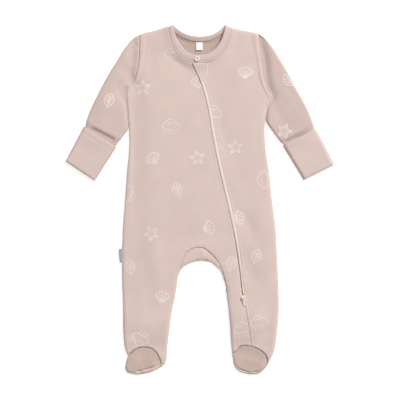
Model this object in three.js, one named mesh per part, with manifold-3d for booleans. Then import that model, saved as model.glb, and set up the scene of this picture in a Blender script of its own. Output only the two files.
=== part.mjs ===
// Footed baby sleepsuit, size 62, laid flat on its back with the sleeves out to the sides.
// Millimetres. X runs across the garment (the wearer's left is +X), Y from the toes to the neck, Z up.
// While it is drawn, Y is the level above the toes and X is measured from the middle of the body.
import * as THREE from "three";
import { mergeVertices } from "three/addons/utils/BufferGeometryUtils.js";
import Module from "manifold-3d";

const wasm = await Module();
wasm.setup();

// Cloth and seams
const CLOTH = 1.7; // thickness of the body cloth
const RIB = 2.4; // thickness of the doubled rib of the neckband
const SEAM_GAP = 0.3; // between two pieces that are sewn together
const SEAM_HEIGHT = 3.8; // the side seams run at this height above the table
const BODY_HEIGHT = 7.2; // top of the front above the table
const EDGE_ROLL = 6; // width over which the front rolls down to a side seam

// Levels of the main points, above the toes
const CROTCH_LEVEL = 188.3;
const HEEL_SEAM_LEVEL = 38;
const ZIP_TOP_LEVEL = 512.5;
const ZIP_END_LEVEL = 133;

// Left and right edge of the body and the outer legs. Between the two armhole rows the edge is the armhole.
const SIDES = [
  { level: 577, left: -49, right: 44.5 },
  { level: 573, left: -61, right: 54 },
  { level: 568.5, left: -75, right: 74 },
  { level: 564.5, left: -91, right: 95 },
  { level: 561, left: -98.3, right: 97.4 },
  { level: 548, left: -98.8, right: 98 },
  { level: 519, left: -100.5, right: 102 },
  { level: 490, left: -106.4, right: 105.6 },
  { level: 476, left: -114.5, right: 109.6 },
  { level: 470, left: -120.6, right: 112.4 },
  { level: 459, left: -121.3, right: 116.5 },
  { level: 437, left: -119.1, right: 110 },
  { level: 405, left: -116.3, right: 107.6 },
  { level: 371, left: -116.3, right: 109.7 },
  { level: 338, left: -119.4, right: 114.7 },
  { level: 291, left: -122.9, right: 119.6 },
  { level: 245, left: -126.2, right: 125.4 },
  { level: 203, left: -127.9, right: 128 },
  { level: 160, left: -127.9, right: 130 },
  { level: 110, left: -126.4, right: 131.2 },
  { level: 80, left: -126.2, right: 129.5 },
  { level: 54, left: -124.6, right: 126.2 },
  { level: 41, left: -122.4, right: 124 },
  { level: 32, left: -118.7, right: 120.6 },
  { level: 24, left: -120.5, right: 116.5 },
  { level: 15.5, left: -122.4, right: 112.3 },
  { level: 8, left: -122, right: 106.5 },
  { level: 2.5, left: -117, right: 99.5 },
  { level: 0.3, left: -105, right: 92 },
];
const RIGHT_ARMPIT_LEVEL = 470;
const LEFT_ARMPIT_LEVEL = 459;
const SHOULDER_TIP_LEVEL = 561;
const UNDERARM_END_LEVEL = 380; // below this level the sleeves lie clear of the body

// Inner edges of the two legs, named by their side of the picture plane.
const INSEAM = [
  { level: 188.3, left: 2, right: 2 },
  { level: 186.5, left: -9.5, right: 16 },
  { level: 178.4, left: -25.9, right: 27.5 },
  { level: 170.8, left: -31.7, right: 34.8 },
  { level: 160, left: -35.5, right: 38.8 },
  { level: 149, left: -37, right: 42.6 },
  { level: 127, left: -40.4, right: 45.4 },
  { level: 107, left: -45, right: 47.9 },
  { level: 80, left: -48.7, right: 50.3 },
  { level: 54, left: -52, right: 52 },
  { level: 34, left: -53.3, right: 54 },
  { level: 21.5, left: -55.4, right: 55.8 },
  { level: 15, left: -59.5, right: 57.4 },
  { level: 9.6, left: -68.8, right: 61 },
  { level: 3.8, left: -81.5, right: 69 },
  { level: 0.3, left: -98, right: 84 },
];

// The line of the zip and, below it, of the seam that runs on to the ankle.
const ZIP_LINE = [
  { level: 530, x: -19 },
  { level: 513.6, x: -12 },
  { level: 482.3, x: 2.1 },
  { level: 439.2, x: 13.9 },
  { level: 406.9, x: 19 },
  { level: 360.5, x: 27.9 },
  { level: 309.9, x: 39.6 },
  { level: 260.7, x: 51 },
  { level: 216.5, x: 60.1 },
  { level: 172.3, x: 66.7 },
  { level: 132.5, x: 71.3 },
  { level: 106.1, x: 76.2 },
  { level: 66.3, x: 83 },
  { level: 30, x: 87 },
];

// Width of the zip tape that shows between the two fronts.
const TAPE_SHOWN = [
  { level: 530, width: 5.2 },
  { level: 240, width: 5 },
  { level: 133, width: 2.6 },
];

// Soft folds of the laid cloth: middle, direction from +X in degrees, length, width and height.
const FOLDS = [
  { x: -80, level: 523, angle: 88, length: 56, width: 10, lift: -1.2 },
  { x: -33, level: 514, angle: -36, length: 46, width: 6, lift: -1.5 },
  { x: 60, level: 540, angle: 80, length: 50, width: 9, lift: -0.8 },
  { x: -101, level: 372, angle: 91, length: 210, width: 9, lift: -1.3 },
  { x: -114, level: 395, angle: 91, length: 150, width: 6, lift: 1 },
  { x: -60, level: 430, angle: 60, length: 80, width: 16, lift: 0.8 },
  { x: 42, level: 388, angle: -76, length: 96, width: 11, lift: -1.1 },
  { x: 97, level: 262, angle: 93, length: 200, width: 14, lift: 1.4 },
  { x: 78, level: 250, angle: -60, length: 74, width: 12, lift: -1.6 },
  { x: 84, level: 172, angle: -62, length: 60, width: 14, lift: -1.3 },
  { x: 47, level: 190, angle: 82, length: 76, width: 15, lift: -1 },
  { x: -8, level: 228, angle: 8, length: 70, width: 14, lift: -1 },
  { x: -70, level: 168, angle: 96, length: 100, width: 13, lift: 1 },
  { x: -82, level: 96, angle: 36, length: 66, width: 12, lift: -1.5 },
  { x: -106, level: 68, angle: 18, length: 42, width: 9, lift: -1.3 },
  { x: -98, level: 120, angle: 70, length: 60, width: 12, lift: 0.9 },
  { x: 99, level: 116, angle: 66, length: 74, width: 11, lift: 1.2 },
  { x: 61, level: 128, angle: 95, length: 80, width: 13, lift: 0.9 },
  { x: 108, level: 70, angle: 30, length: 44, width: 9, lift: -1.1 },
  { x: -113, level: 488, angle: -62, length: 44, width: 8, lift: -2.2 },
  { x: -140, level: 440, angle: 62, length: 70, width: 11, lift: -1.2 },
  { x: -150, level: 455, angle: 58, length: 90, width: 9, lift: 0.9 },
  { x: 110, level: 510, angle: -82, length: 84, width: 7, lift: -2.2 },
  { x: 134, level: 424, angle: -56, length: 70, width: 10, lift: -1.2 },
  { x: 156, level: 446, angle: -58, length: 90, width: 10, lift: 0.9 },
];

// The two edges of each flattened sleeve, from the armhole to where the cuff begins.
const SLEEVES = {
  right: [
    { topX: -90, topLevel: 561.5, underX: -110, underLevel: 474 },
    { topX: -98.5, topLevel: 562, underX: -121, underLevel: 469.5 },
    { topX: -111.5, topLevel: 553.8, underX: -121.6, underLevel: 465 },
    { topX: -124, topLevel: 538.5, underX: -121.8, underLevel: 459 },
    { topX: -137.8, topLevel: 516, underX: -120.9, underLevel: 448 },
    { topX: -149.4, topLevel: 497.5, underX: -119.6, underLevel: 435 },
    { topX: -160.9, topLevel: 476.5, underX: -118.2, underLevel: 420 },
    { topX: -171, topLevel: 456.5, underX: -117.6, underLevel: 407 },
    { topX: -180.5, topLevel: 436.5, underX: -122.9, underLevel: 398 },
    { topX: -186.6, topLevel: 419, underX: -131.5, underLevel: 386.5 },
    { topX: -188.6, topLevel: 410, underX: -138.2, underLevel: 378.4 },
  ],
  left: [
    { topX: 89, topLevel: 561.5, underX: 107, underLevel: 464 },
    { topX: 97.8, topLevel: 563, underX: 118.6, underLevel: 460 },
    { topX: 110.5, topLevel: 553.8, underX: 118.4, underLevel: 455.5 },
    { topX: 122, topLevel: 539, underX: 115.6, underLevel: 449.5 },
    { topX: 136.1, topLevel: 516, underX: 113, underLevel: 442 },
    { topX: 147, topLevel: 497.6, underX: 111, underLevel: 432.5 },
    { topX: 157.8, topLevel: 476.5, underX: 109.8, underLevel: 421.5 },
    { topX: 170, topLevel: 455, underX: 113.4, underLevel: 412 },
    { topX: 180.5, topLevel: 434, underX: 122, underLevel: 400.5 },
    { topX: 187, topLevel: 417, underX: 132, underLevel: 386.5 },
    { topX: 190, topLevel: 407, underX: 138.6, underLevel: 380.8 },
  ],
};

// Corners of each cuff as the mitt flap shows them, from the mouth of the flap to the hem.
const CUFFS = {
  right: {
    mouth: { topX: -190.2, topLevel: 409.4, underX: -138.6, underLevel: 376.6 },
    hem: { topX: -220.6, topLevel: 351.5, underX: -174.1, underLevel: 320.6 },
  },
  left: {
    mouth: { topX: 191.6, topLevel: 405.6, underX: 138.8, underLevel: 379 },
    hem: { topX: 221.8, topLevel: 346.3, underX: 173.3, underLevel: 322.1 },
  },
};
const CUFF_HEIGHT = 5.2; // of the cuff tube that lies inside the mitt flap
const CUFF_INSET = 2.2; // how much narrower it is than the flap on each side
const CUFF_START = 0.12; // share of the flap's length at which the cuff meets the sleeve
const SLEEVE_STOP = 0.115; // and the share at which the sleeve ends, a seam's gap before it
const SLEEVE_CROWN = 0.6; // the middle of a sleeve stands higher than its edges by this much
const SLEEVE_END = { share: 0.02, drop: 1.2, inset: 0.8 }; // how it draws in before the cuff
const FLAP_HEIGHT = 7.4;
const FLAP_MOUTH = { lift: 2, reach: 0.3 }; // how far the mouth stands open, over this share of the flap

// The neckband, from its overlapping end at the front round the back to its other end.
const NECKBAND = [
  { seamX: 13.4, seamLevel: 514.8, seamZ: 8.7, edgeX: 12.7, edgeLevel: 529.3, edgeZ: 9.6 },
  { seamX: 0, seamLevel: 513.6, seamZ: 8.4, edgeX: 0, edgeLevel: 527.9, edgeZ: 9.4 },
  { seamX: -12.2, seamLevel: 514.5, seamZ: 8.1, edgeX: -11, edgeLevel: 528.9, edgeZ: 9.2 },
  { seamX: -25.4, seamLevel: 519, seamZ: 7.9, edgeX: -21.5, edgeLevel: 534.5, edgeZ: 9.2 },
  { seamX: -36.5, seamLevel: 527.6, seamZ: 7.9, edgeX: -29, edgeLevel: 542.8, edgeZ: 9.2 },
  { seamX: -43.5, seamLevel: 538.4, seamZ: 7.9, edgeX: -35.5, edgeLevel: 552.5, edgeZ: 9.2 },
  { seamX: -48, seamLevel: 552, seamZ: 8, edgeX: -40.3, edgeLevel: 563.5, edgeZ: 9.2 },
  { seamX: -50.8, seamLevel: 566, seamZ: 8, edgeX: -43, edgeLevel: 572.6, edgeZ: 9 },
  { seamX: -51.6, seamLevel: 572.5, seamZ: 5.3, edgeX: -43.8, edgeLevel: 577, edgeZ: 6.4 },
  { seamX: -46.5, seamLevel: 569, seamZ: 2.7, edgeX: -40, edgeLevel: 575, edgeZ: 4.2 },
  { seamX: -35, seamLevel: 561, seamZ: 2.2, edgeX: -31, edgeLevel: 567.4, edgeZ: 5.6 },
  { seamX: -19, seamLevel: 553.6, seamZ: 2.2, edgeX: -17.5, edgeLevel: 561.2, edgeZ: 7 },
  { seamX: 0, seamLevel: 551, seamZ: 2.2, edgeX: 0, edgeLevel: 558.7, edgeZ: 7.6 },
  { seamX: 19, seamLevel: 553.3, seamZ: 2.2, edgeX: 17.5, edgeLevel: 560.8, edgeZ: 7 },
  { seamX: 33, seamLevel: 560.6, seamZ: 2.2, edgeX: 29.5, edgeLevel: 566.6, edgeZ: 5.6 },
  { seamX: 44.4, seamLevel: 568.6, seamZ: 2.7, edgeX: 38.6, edgeLevel: 574.8, edgeZ: 4.2 },
  { seamX: 50.8, seamLevel: 572.3, seamZ: 5.3, edgeX: 42.4, edgeLevel: 577, edgeZ: 6.4 },
  { seamX: 52.2, seamLevel: 565.5, seamZ: 8, edgeX: 41.4, edgeLevel: 571.8, edgeZ: 9 },
  { seamX: 50, seamLevel: 553, seamZ: 8, edgeX: 39, edgeLevel: 562, edgeZ: 9.2 },
  { seamX: 44.8, seamLevel: 541, seamZ: 7.9, edgeX: 35, edgeLevel: 551.5, edgeZ: 9.2 },
  { seamX: 35.6, seamLevel: 528, seamZ: 7.9, edgeX: 27.8, edgeLevel: 541, edgeZ: 9.2 },
  { seamX: 24.5, seamLevel: 519.6, seamZ: 7.9, edgeX: 19.8, edgeLevel: 533.8, edgeZ: 9 },
  { seamX: 14.2, seamLevel: 515.2, seamZ: 7.6, edgeX: 13.5, edgeLevel: 529.7, edgeZ: 8.8 },
];
const NECK_FRONT_END = 8; // rows of the table up to the fold at the right shoulder
const NECK_BACK_END = 17; // rows up to the fold at the left shoulder

// Front crotch seam, from the right leg over the top of the arc to the left leg.
const CROTCH_ARC = [
  { x: -38.6, level: 146 },
  { x: -35.6, level: 163 },
  { x: -31.6, level: 181 },
  { x: -26.6, level: 194 },
  { x: -20, level: 203.6 },
  { x: -10.7, level: 209.2 },
  { x: -1, level: 211 },
  { x: 8.4, level: 209.4 },
  { x: 18, level: 202 },
  { x: 27, level: 193 },
  { x: 34.7, level: 180.4 },
  { x: 40.2, level: 166 },
  { x: 44.5, level: 148 },
];

// Seams of the feet: over the ankle, then along the toes, between points that lie outside the cloth.
const FEET = {
  right: {
    ankle: [
      { x: -132, level: 29 },
      { x: -119, level: 33 },
      { x: -113, level: 38.5 },
      { x: -103.5, level: 44.4 },
      { x: -91.5, level: 46.6 },
      { x: -79, level: 44.6 },
      { x: -70, level: 37 },
      { x: -64.5, level: 26.5 },
      { x: -62.5, level: 18 },
    ],
    toes: [
      { x: -76.6, level: 12.7 },
      { x: -96.4, level: 6.9 },
      { x: -114, level: 4.6 },
      { x: -132, level: 7 },
    ],
    stripEnd: { x: -48, level: 14.5 },
  },
  left: {
    ankle: [
      { x: 46, level: 34 },
      { x: 57.5, level: 38.5 },
      { x: 67, level: 47.6 },
      { x: 77, level: 49.4 },
      { x: 91, level: 46.2 },
      { x: 103, level: 40.4 },
      { x: 110, level: 33.6 },
      { x: 113, level: 26 },
      { x: 112.6, level: 19 },
    ],
    toes: [
      { x: 107, level: 11 },
      { x: 98.5, level: 6 },
      { x: 88, level: 4.4 },
      { x: 77, level: 5.6 },
      { x: 66.5, level: 9.4 },
      { x: 59, level: 15.5 },
      { x: 46, level: 21 },
    ],
    stripEnd: { x: 128, level: 13 },
  },
};
// The leg puffs up towards the ankle seam, and sinks again towards the toes.
const ANKLE = { height: 11.2, from: 96, reach: 50, toeFrom: 12, toeReach: 22 };
// The vamp leaves the ankle seam at its start height, drops away from it, and rises again at the toes.
const VAMP = { start: 10, height: 7, dropReach: 6, toeRise: 1.4, toeFrom: 12, toeReach: 14 };
// The gusset lies a little lower than the fronts, with one small fold in its middle.
const GUSSET = { drop: 1.2, foldX: 6, foldWidth: 5, foldFrom: 211, foldReach: 12 };

// Small parts
const SNAP = { x: -4.1, level: 521, radius: 4.6, height: 1.3 };
const NECK_LABEL = { x: -0.2, level: 542.6, width: 10.6, length: 12.8, thick: 0.5 };
const SIDE_LABEL = { x: -128.6, level: 196.5, reach: 5.4, lowerReach: 0.6, length: 24, taper: 3, thick: 1 };
const CHIN_GUARD = { right: 12.4, top: 512, corner: 498.5, bottom: 482, point: 2, lap: 0.6, thick: 1.2 };
const SLIDER = { x: 72.4, level: 127, width: 6.6, length: 8.6, height: 1.8 };
const PULL = { width: 3.8, length: 12.5, thick: 1, eye: 1.3, pin: 0.5, slack: 0.25, droop: 9 };

// Smooth value of one column of a table at a level.
function at(table, column, level) {
  const rising = table[0].level < table.at(-1).level;
  const rows = rising ? table : table.toReversed();
  const last = rows.length - 1;
  const clamped = Math.min(Math.max(level, rows[0].level), rows[last].level);
  let k = 0;
  while (k < last - 1 && rows[k + 1].level < clamped) k++;
  const slope = (i) => {
    const from = rows[Math.max(i - 1, 0)];
    const to = rows[Math.min(i + 1, last)];
    return (to[column] - from[column]) / (to.level - from.level);
  };
  const step = rows[k + 1].level - rows[k].level;
  const t = (clamped - rows[k].level) / step;
  return (
    rows[k][column] * (1 + 2 * t) * (1 - t) ** 2 +
    slope(k) * step * t * (1 - t) ** 2 +
    rows[k + 1][column] * t * t * (3 - 2 * t) +
    slope(k + 1) * step * t * t * (t - 1)
  );
}

const smooth = (t) => {
  const u = Math.min(Math.max(t, 0), 1);
  return u * u * (3 - 2 * u);
};

// The edges where front and back are sewn together, as chains of points with the cloth on their left.
const OUTLINE_STEP = 4;
function levels(from, to, step = OUTLINE_STEP) {
  const count = Math.max(2, Math.ceil(Math.abs(from - to) / step));
  return Array.from({ length: count + 1 }, (_, i) => from + ((to - from) * i) / count);
}
const edge = (table, column, from, to) => levels(from, to).map((y) => [at(table, column, y), y]);
const TOE = SIDES.at(-1).level;
const SEWN_EDGES = [
  edge(SIDES, "left", SIDES[0].level, SHOULDER_TIP_LEVEL),
  [
    ...edge(SIDES, "left", RIGHT_ARMPIT_LEVEL, TOE),
    ...edge(INSEAM, "left", TOE, CROTCH_LEVEL),
    ...edge(INSEAM, "right", CROTCH_LEVEL, TOE),
    ...edge(SIDES, "right", TOE, LEFT_ARMPIT_LEVEL),
  ],
  edge(SIDES, "right", SHOULDER_TIP_LEVEL, SIDES[0].level),
];

// Distance from a point to the nearest sewn edge, and the direction from the edge into the cloth.
function fromEdge(x, y) {
  let best = { distance: Infinity, inX: 0, inY: 0 };
  for (const chain of SEWN_EDGES)
    for (let i = 0; i + 1 < chain.length; i++) {
      const [ax, ay] = chain[i];
      const [bx, by] = chain[i + 1];
      const length = Math.hypot(bx - ax, by - ay);
      if (length < 1e-6) continue;
      const ux = (bx - ax) / length;
      const uy = (by - ay) / length;
      const t = Math.min(Math.max((x - ax) * ux + (y - ay) * uy, 0), length);
      const dx = x - ax - ux * t;
      const dy = y - ay - uy * t;
      const distance = Math.hypot(dx, dy);
      if (distance >= best.distance) continue;
      const far = distance > 0.6;
      best = { distance, inX: far ? dx / distance : -uy, inY: far ? dy / distance : ux };
    }
  return best;
}

// Height that the folds add at a point.
function folds(x, y) {
  return FOLDS.reduce((sum, fold) => {
    const turn = THREE.MathUtils.degToRad(fold.angle);
    const along = (x - fold.x) * Math.cos(turn) + (y - fold.level) * Math.sin(turn);
    const across = -(x - fold.x) * Math.sin(turn) + (y - fold.level) * Math.cos(turn);
    return sum + fold.lift * Math.exp(-((along / fold.length) ** 2) * 4 - (across / fold.width) ** 2);
  }, 0);
}

// Level of the ankle seam above or below a point of a foot.
const ankleLevel = (foot, x) =>
  at(foot.ankle.map((row) => ({ level: row.x, y: row.level })), "y", x);

const bodyTop = (x, y) =>
  BODY_HEIGHT +
  folds(x, y) +
  (ANKLE.height - BODY_HEIGHT) *
    smooth((ANKLE.from - y) / ANKLE.reach) *
    smooth((y - ANKLE.toeFrom) / ANKLE.toeReach);

const vampTop = (foot) => (x, y) => {
  const below = Math.max(ankleLevel(foot, x) - y, 0);
  const drop = (VAMP.start - VAMP.height) * Math.exp(-((below / VAMP.dropReach) ** 2));
  return VAMP.height + drop + VAMP.toeRise * smooth((below - VAMP.toeFrom) / VAMP.toeReach);
};

const gussetTop = (x, y) => {
  const across = Math.exp(-(((x - GUSSET.foldX) / GUSSET.foldWidth) ** 2));
  return BODY_HEIGHT - GUSSET.drop * (1 - across * smooth((GUSSET.foldFrom - y) / GUSSET.foldReach));
};

// A point of the front cloth, outside and inside: level on top, rolled down to the seam at a sewn edge.
function frontPoint(x, y, onEdge, top = bodyTop, seam = SEAM_HEIGHT) {
  const { distance, inX, inY } = fromEdge(x, y);
  const roll = onEdge ? 0 : Math.acos(Math.max(1 - distance / EDGE_ROLL, 0));
  const rise = top(x, y) - seam;
  const shift = CLOTH * Math.cos(roll);
  return {
    outer: [x, y, seam + rise * Math.sin(roll)],
    inner: [x + inX * shift, y + inY * shift, seam + (rise - CLOTH) * Math.sin(roll)],
  };
}

// A point of the back cloth: flat on the table, curled up to the seam at a sewn edge.
const BACK_SEAM = SEAM_HEIGHT - SEAM_GAP;
function backPoint(x, y, onEdge) {
  const { distance, inX, inY } = fromEdge(x, y);
  const roll = onEdge ? 0 : Math.acos(Math.max(1 - distance / BACK_SEAM, 0));
  const shift = CLOTH * Math.cos(roll);
  return {
    outer: [x, y, BACK_SEAM * (1 - Math.sin(roll))],
    inner: [x + inX * shift, y + inY * shift, BACK_SEAM - (BACK_SEAM - CLOTH) * Math.sin(roll)],
  };
}

// Closed wall between the outer and inner points of a set of grids. A grid is a list of rows of points.
function wall(grids, closedRows = false) {
  const outer = [];
  const inner = [];
  const known = new Map();
  const indexOf = (point) => {
    const key = point.outer.map((v) => v.toFixed(3)).join();
    if (!known.has(key)) {
      known.set(key, outer.length);
      outer.push(point.outer);
      inner.push(point.inner);
    }
    return known.get(key);
  };
  const faces = [];
  const addFace = (a, b, c) => {
    if (a !== b && b !== c && c !== a) faces.push([a, b, c]);
  };
  for (const grid of grids) {
    const rows = grid.map((row) => row.map(indexOf));
    for (let j = 0; j + 1 < rows.length; j++) {
      const count = rows[j].length - (closedRows ? 0 : 1);
      for (let i = 0; i < count; i++) {
        const next = (i + 1) % rows[j].length;
        addFace(rows[j][i], rows[j + 1][i], rows[j + 1][next]);
        addFace(rows[j][i], rows[j + 1][next], rows[j][next]);
      }
    }
  }
  const size = outer.length;
  const directed = new Set(faces.flatMap(([a, b, c]) => [`${a},${b}`, `${b},${c}`, `${c},${a}`]));
  const triangles = faces.flatMap(([a, b, c]) => [a, b, c, size + a, size + c, size + b]);
  for (const pair of directed) {
    const [a, b] = pair.split(",").map(Number);
    if (!directed.has(`${b},${a}`)) triangles.push(b, a, size + a, b, size + a, size + b);
  }
  return asSolid([...outer, ...inner], triangles);
}

// A solid from points and triangles, turned outside out if it comes inside out.
function asSolid(points, triangles) {
  const vertProperties = new Float32Array(points.flat());
  const made = (triVerts) => new wasm.Manifold(new wasm.Mesh({ numProp: 3, vertProperties, triVerts }));
  const solid = made(new Uint32Array(triangles));
  return solid.volume() > 0 ? solid : made(new Uint32Array(triangles.toReversed()));
}

// Any closed three.js geometry as a solid.
function solidOf(geometry) {
  const bare = new THREE.BufferGeometry().setAttribute("position", geometry.getAttribute("position"));
  if (geometry.index) bare.setIndex(geometry.index);
  const merged = mergeVertices(bare, 1e-4);
  return asSolid([...merged.attributes.position.array], [...merged.index.array]);
}

// A flat plate with the given plan outline, from one height to another.
function plate(plan, bottom, top) {
  const shape = new THREE.Shape(plan.map(([x, y]) => new THREE.Vector2(x, y)));
  const geometry = new THREE.ExtrudeGeometry(shape, { depth: top - bottom, bevelEnabled: false });
  geometry.translate(0, 0, bottom);
  return solidOf(geometry);
}

// A block that is taller than the garment, used to cut pieces apart.
const block = (plan) => plate(plan, -10, 40);

// Points of a smooth curve through the rows of a table.
function curve(rows, steps) {
  const spline = new THREE.SplineCurve(rows.map((row) => new THREE.Vector2(row.x, row.level)));
  return spline.getPoints(steps * (rows.length - 1)).map((p) => [p.x, p.y]);
}

// A chain of points moved sideways, to its left when the distance is positive.
function moved(chain, distance) {
  return chain.map(([x, y], i) => {
    const [ax, ay] = chain[Math.max(i - 1, 0)];
    const [bx, by] = chain[Math.min(i + 1, chain.length - 1)];
    const length = Math.hypot(bx - ax, by - ay);
    return [x - ((by - ay) / length) * distance, y + ((bx - ax) / length) * distance];
  });
}

// Places across a row, from its outer edge: close together where the cloth rolls over that edge, then
// evenly spaced, or gathered at the inner edge too.
const marks = (angles) => angles.map((angle) => 1 - Math.cos(THREE.MathUtils.degToRad(angle)));
const FRONT = { point: frontPoint, roll: EDGE_ROLL, marks: marks([0, 26, 52, 74, 90]), middle: 6 };
const BACK = { point: backPoint, roll: BACK_SEAM, marks: marks([0, 35, 65, 90]), middle: 1 };
function places(width, gather, { roll, marks, middle }) {
  const reach = Math.min(roll, width * 0.3);
  const start = marks.map((mark) => mark * reach);
  const end = start.map((distance) => width - distance).reverse();
  const even = (low, high, count) =>
    Array.from({ length: count }, (_, i) => low + ((high - low) * (i + 1)) / (count + 1));
  const spread = [...start, ...even(reach, width, middle + marks.length - 1), width];
  const gathered = [...start, ...even(reach, width - reach, middle), ...end];
  return spread.map((place, i) => place + (gathered[i] - place) * gather);
}

// The body as two grids that share their middle line down to the crotch, one for each leg below it.
const GATHER_REACH = 70; // the rows change from evenly spaced to gathered over this far above the crotch
function bodyGrids(rowLevels, side, top, seam) {
  const half = (name, armpit) =>
    rowLevels.map((level) => {
      const split = level < CROTCH_LEVEL;
      const armhole = level <= SHOULDER_TIP_LEVEL && level > armpit;
      const outside = at(SIDES, name, level);
      const inside = split ? at(INSEAM, name, level) : INSEAM[0][name];
      const gather = smooth((CROTCH_LEVEL + GATHER_REACH - level) / GATHER_REACH);
      const row = places(Math.abs(outside - inside), gather, side).map((place, i, all) => {
        const x = outside + Math.sign(inside - outside) * place;
        const sewn = (i === 0 && !armhole) || (i === all.length - 1 && split) || level <= TOE;
        return side.point(x, level, sewn, top, seam);
      });
      return name === "left" ? row : row.reverse();
    });
  return [half("left", RIGHT_ARMPIT_LEVEL), half("right", LEFT_ARMPIT_LEVEL)];
}

const BODY_ROWS = [
  577, 575, 572.5, 569.5, 566.5, 563.5, 561, 554, 544, 532, 518, 504, 490, 480, 474, 470, 464.5, 459,
  450, 437, 422, 405, 388, 371, 352, 332, 312, 291, 270, 248, 228, 213, 200, 192.5, 188.3, 186.5, 182.5,
  178.4, 170.8, 160, 149, 136, 122, 107, 92, 78, 66, 54, 46, 38, 31, 24, 17.5, 12,
];
const BACK_ROWS = [
  ...BODY_ROWS.filter((level) => level > UNDERARM_END_LEVEL),
  371, 332, 291, 248, 213, 188.3, 186.5, 182.5, 178.4, 170.8, 160, 136, 107, 78, 54, 46,
  HEEL_SEAM_LEVEL + SEAM_GAP,
];
const FOOT_ROWS = [56, 50, 45.5, 41.5, HEEL_SEAM_LEVEL, 33, 28, 22.5, 17, 12.5, 8.5, 5.5, 3, 1.4, TOE];

// Plan outlines that part the pieces
const FAR = 300; // beyond the garment to the sides and below the toes
const ABOVE = 600; // level beyond the neck
const ZIP_STEP = 14;
const zipX = (level) => at(ZIP_LINE, "x", level);
const tapeWidth = (level) => (level >= ZIP_END_LEVEL ? at(TAPE_SHOWN, "width", level) : SEAM_GAP);
const zipLevels = [
  ...levels(ZIP_LINE[0].level, ZIP_END_LEVEL, ZIP_STEP),
  ...levels(ZIP_END_LEVEL - 2, ZIP_LINE.at(-1).level, ZIP_STEP),
];
const rightFrontEdge = zipLevels.map((y) => [zipX(y), y]);
const leftFrontEdge = zipLevels.map((y) => [zipX(y) + tapeWidth(y), y]);

const NECK_FOLDS = [NECK_FRONT_END, NECK_BACK_END - 1].map((i) => NECKBAND[i]);
const foldRoom = (row) => (NECK_FOLDS.includes(row) ? Math.sign(row.seamX) * RIB * 0.7 : 0);
const neckSeam = (rows) =>
  curve(rows.map((row) => ({ x: row.seamX + foldRoom(row), level: row.seamLevel })), 2);
const ABOVE_NECK = [
  [-48.5, ABOVE],
  [48, ABOVE],
]; // where the neck cut leaves the shoulders
const frontNeck = [
  ...neckSeam([...NECKBAND.slice(NECK_BACK_END - 1, -1), ...NECKBAND.slice(0, NECK_FRONT_END + 1)]),
  ...ABOVE_NECK,
];
const backNeck = [...neckSeam(NECKBAND.slice(NECK_FRONT_END, NECK_BACK_END)), ...ABOVE_NECK.toReversed()];
const crotchArc = curve(CROTCH_ARC, 2);

// Plan of the gusset, grown or shrunk along the crotch seam.
const BELOW_GUSSET = 120; // level below both ends of the crotch seam
const gussetPlan = (grow) => [
  ...moved(crotchArc, grow),
  [CROTCH_ARC.at(-1).x, BELOW_GUSSET],
  [CROTCH_ARC[0].x, BELOW_GUSSET],
];

// Plans of a foot: all of it below the ankle seam, its vamp, and the strip of the sole at the toes.
function footPlans(foot) {
  const grow = SEAM_GAP / 2;
  const ankle = curve(foot.ankle, 2);
  const toes = curve([foot.ankle.at(-1), ...foot.toes], 2);
  const outside = foot.ankle[0].x;
  const end = [foot.stripEnd.x, foot.stripEnd.level];
  return {
    whole: [...moved(ankle, grow), end, [end[0], -FAR], [outside, -FAR]],
    vamp: [...moved(ankle, -grow), ...moved(toes, -grow).slice(1)],
    strip: [...moved(toes, grow), [outside, -FAR], [end[0], -FAR], [end[0], end[1] - grow * 2]],
  };
}

// A cut piece made clean: its largest body, without the crumbs and slivers that a cut can leave.
const SLIVER = 0.03;
const clean = (solid) =>
  solid
    .decompose()
    .reduce((best, body) => (body.volume() > best.volume() ? body : best))
    .simplify(SLIVER);

// Both fronts: one wall, parted along the neck, the crotch seam, the ankles and the zip
function makeFronts() {
  let front = wall(bodyGrids(BODY_ROWS, FRONT)).subtract(block(frontNeck));
  front = front.subtract(block(gussetPlan(SEAM_GAP / 2)));
  for (const foot of Object.values(FEET)) front = front.subtract(block(footPlans(foot).whole));
  const beyond = (edge, farX) => {
    const [top] = edge[0];
    const [foot] = edge.at(-1);
    return block([...edge, [foot, -FAR], [farX, -FAR], [farX, ABOVE], [top, ABOVE]]);
  };
  return {
    front_right: clean(front.intersect(beyond(rightFrontEdge, -FAR))),
    front_left: clean(front.intersect(beyond(leftFrontEdge, FAR))),
  };
}

const GUSSET_ROWS = { from: 230, to: 105 };
function makeGusset() {
  const rows = BODY_ROWS.filter((level) => level < GUSSET_ROWS.from && level > GUSSET_ROWS.to);
  const whole = wall(bodyGrids(rows, FRONT, gussetTop));
  return clean(whole.intersect(block(gussetPlan(-SEAM_GAP / 2))));
}

function makeBack() {
  return clean(wall(bodyGrids(BACK_ROWS, BACK)).subtract(block(backNeck)));
}

// One grid of the foot on one side of the picture plane
function footGrid(name, rowLevels, side, top, seam) {
  return bodyGrids(rowLevels, side, top, seam)[name === "right" ? 0 : 1];
}

function makeVamp(name) {
  const foot = FEET[name];
  const whole = wall([footGrid(name, FOOT_ROWS, FRONT, vampTop(foot))]);
  return clean(whole.intersect(block(footPlans(foot).vamp)));
}

// The sole: flat under the foot, and rolled up over the toes to the seam of the vamp
const STRIP_SINK = 0.4; // the strip's wall runs this far into the sole's, so that they are one piece
function makeSole(name) {
  const foot = FEET[name];
  const rows = FOOT_ROWS.filter((level) => level <= HEEL_SEAM_LEVEL);
  const under = wall([footGrid(name, rows, BACK)]);
  const over = wall([footGrid(name, rows, FRONT, vampTop(foot), BACK_SEAM - STRIP_SINK)]);
  return clean(under.add(over.intersect(block(footPlans(foot).strip))));
}

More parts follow.
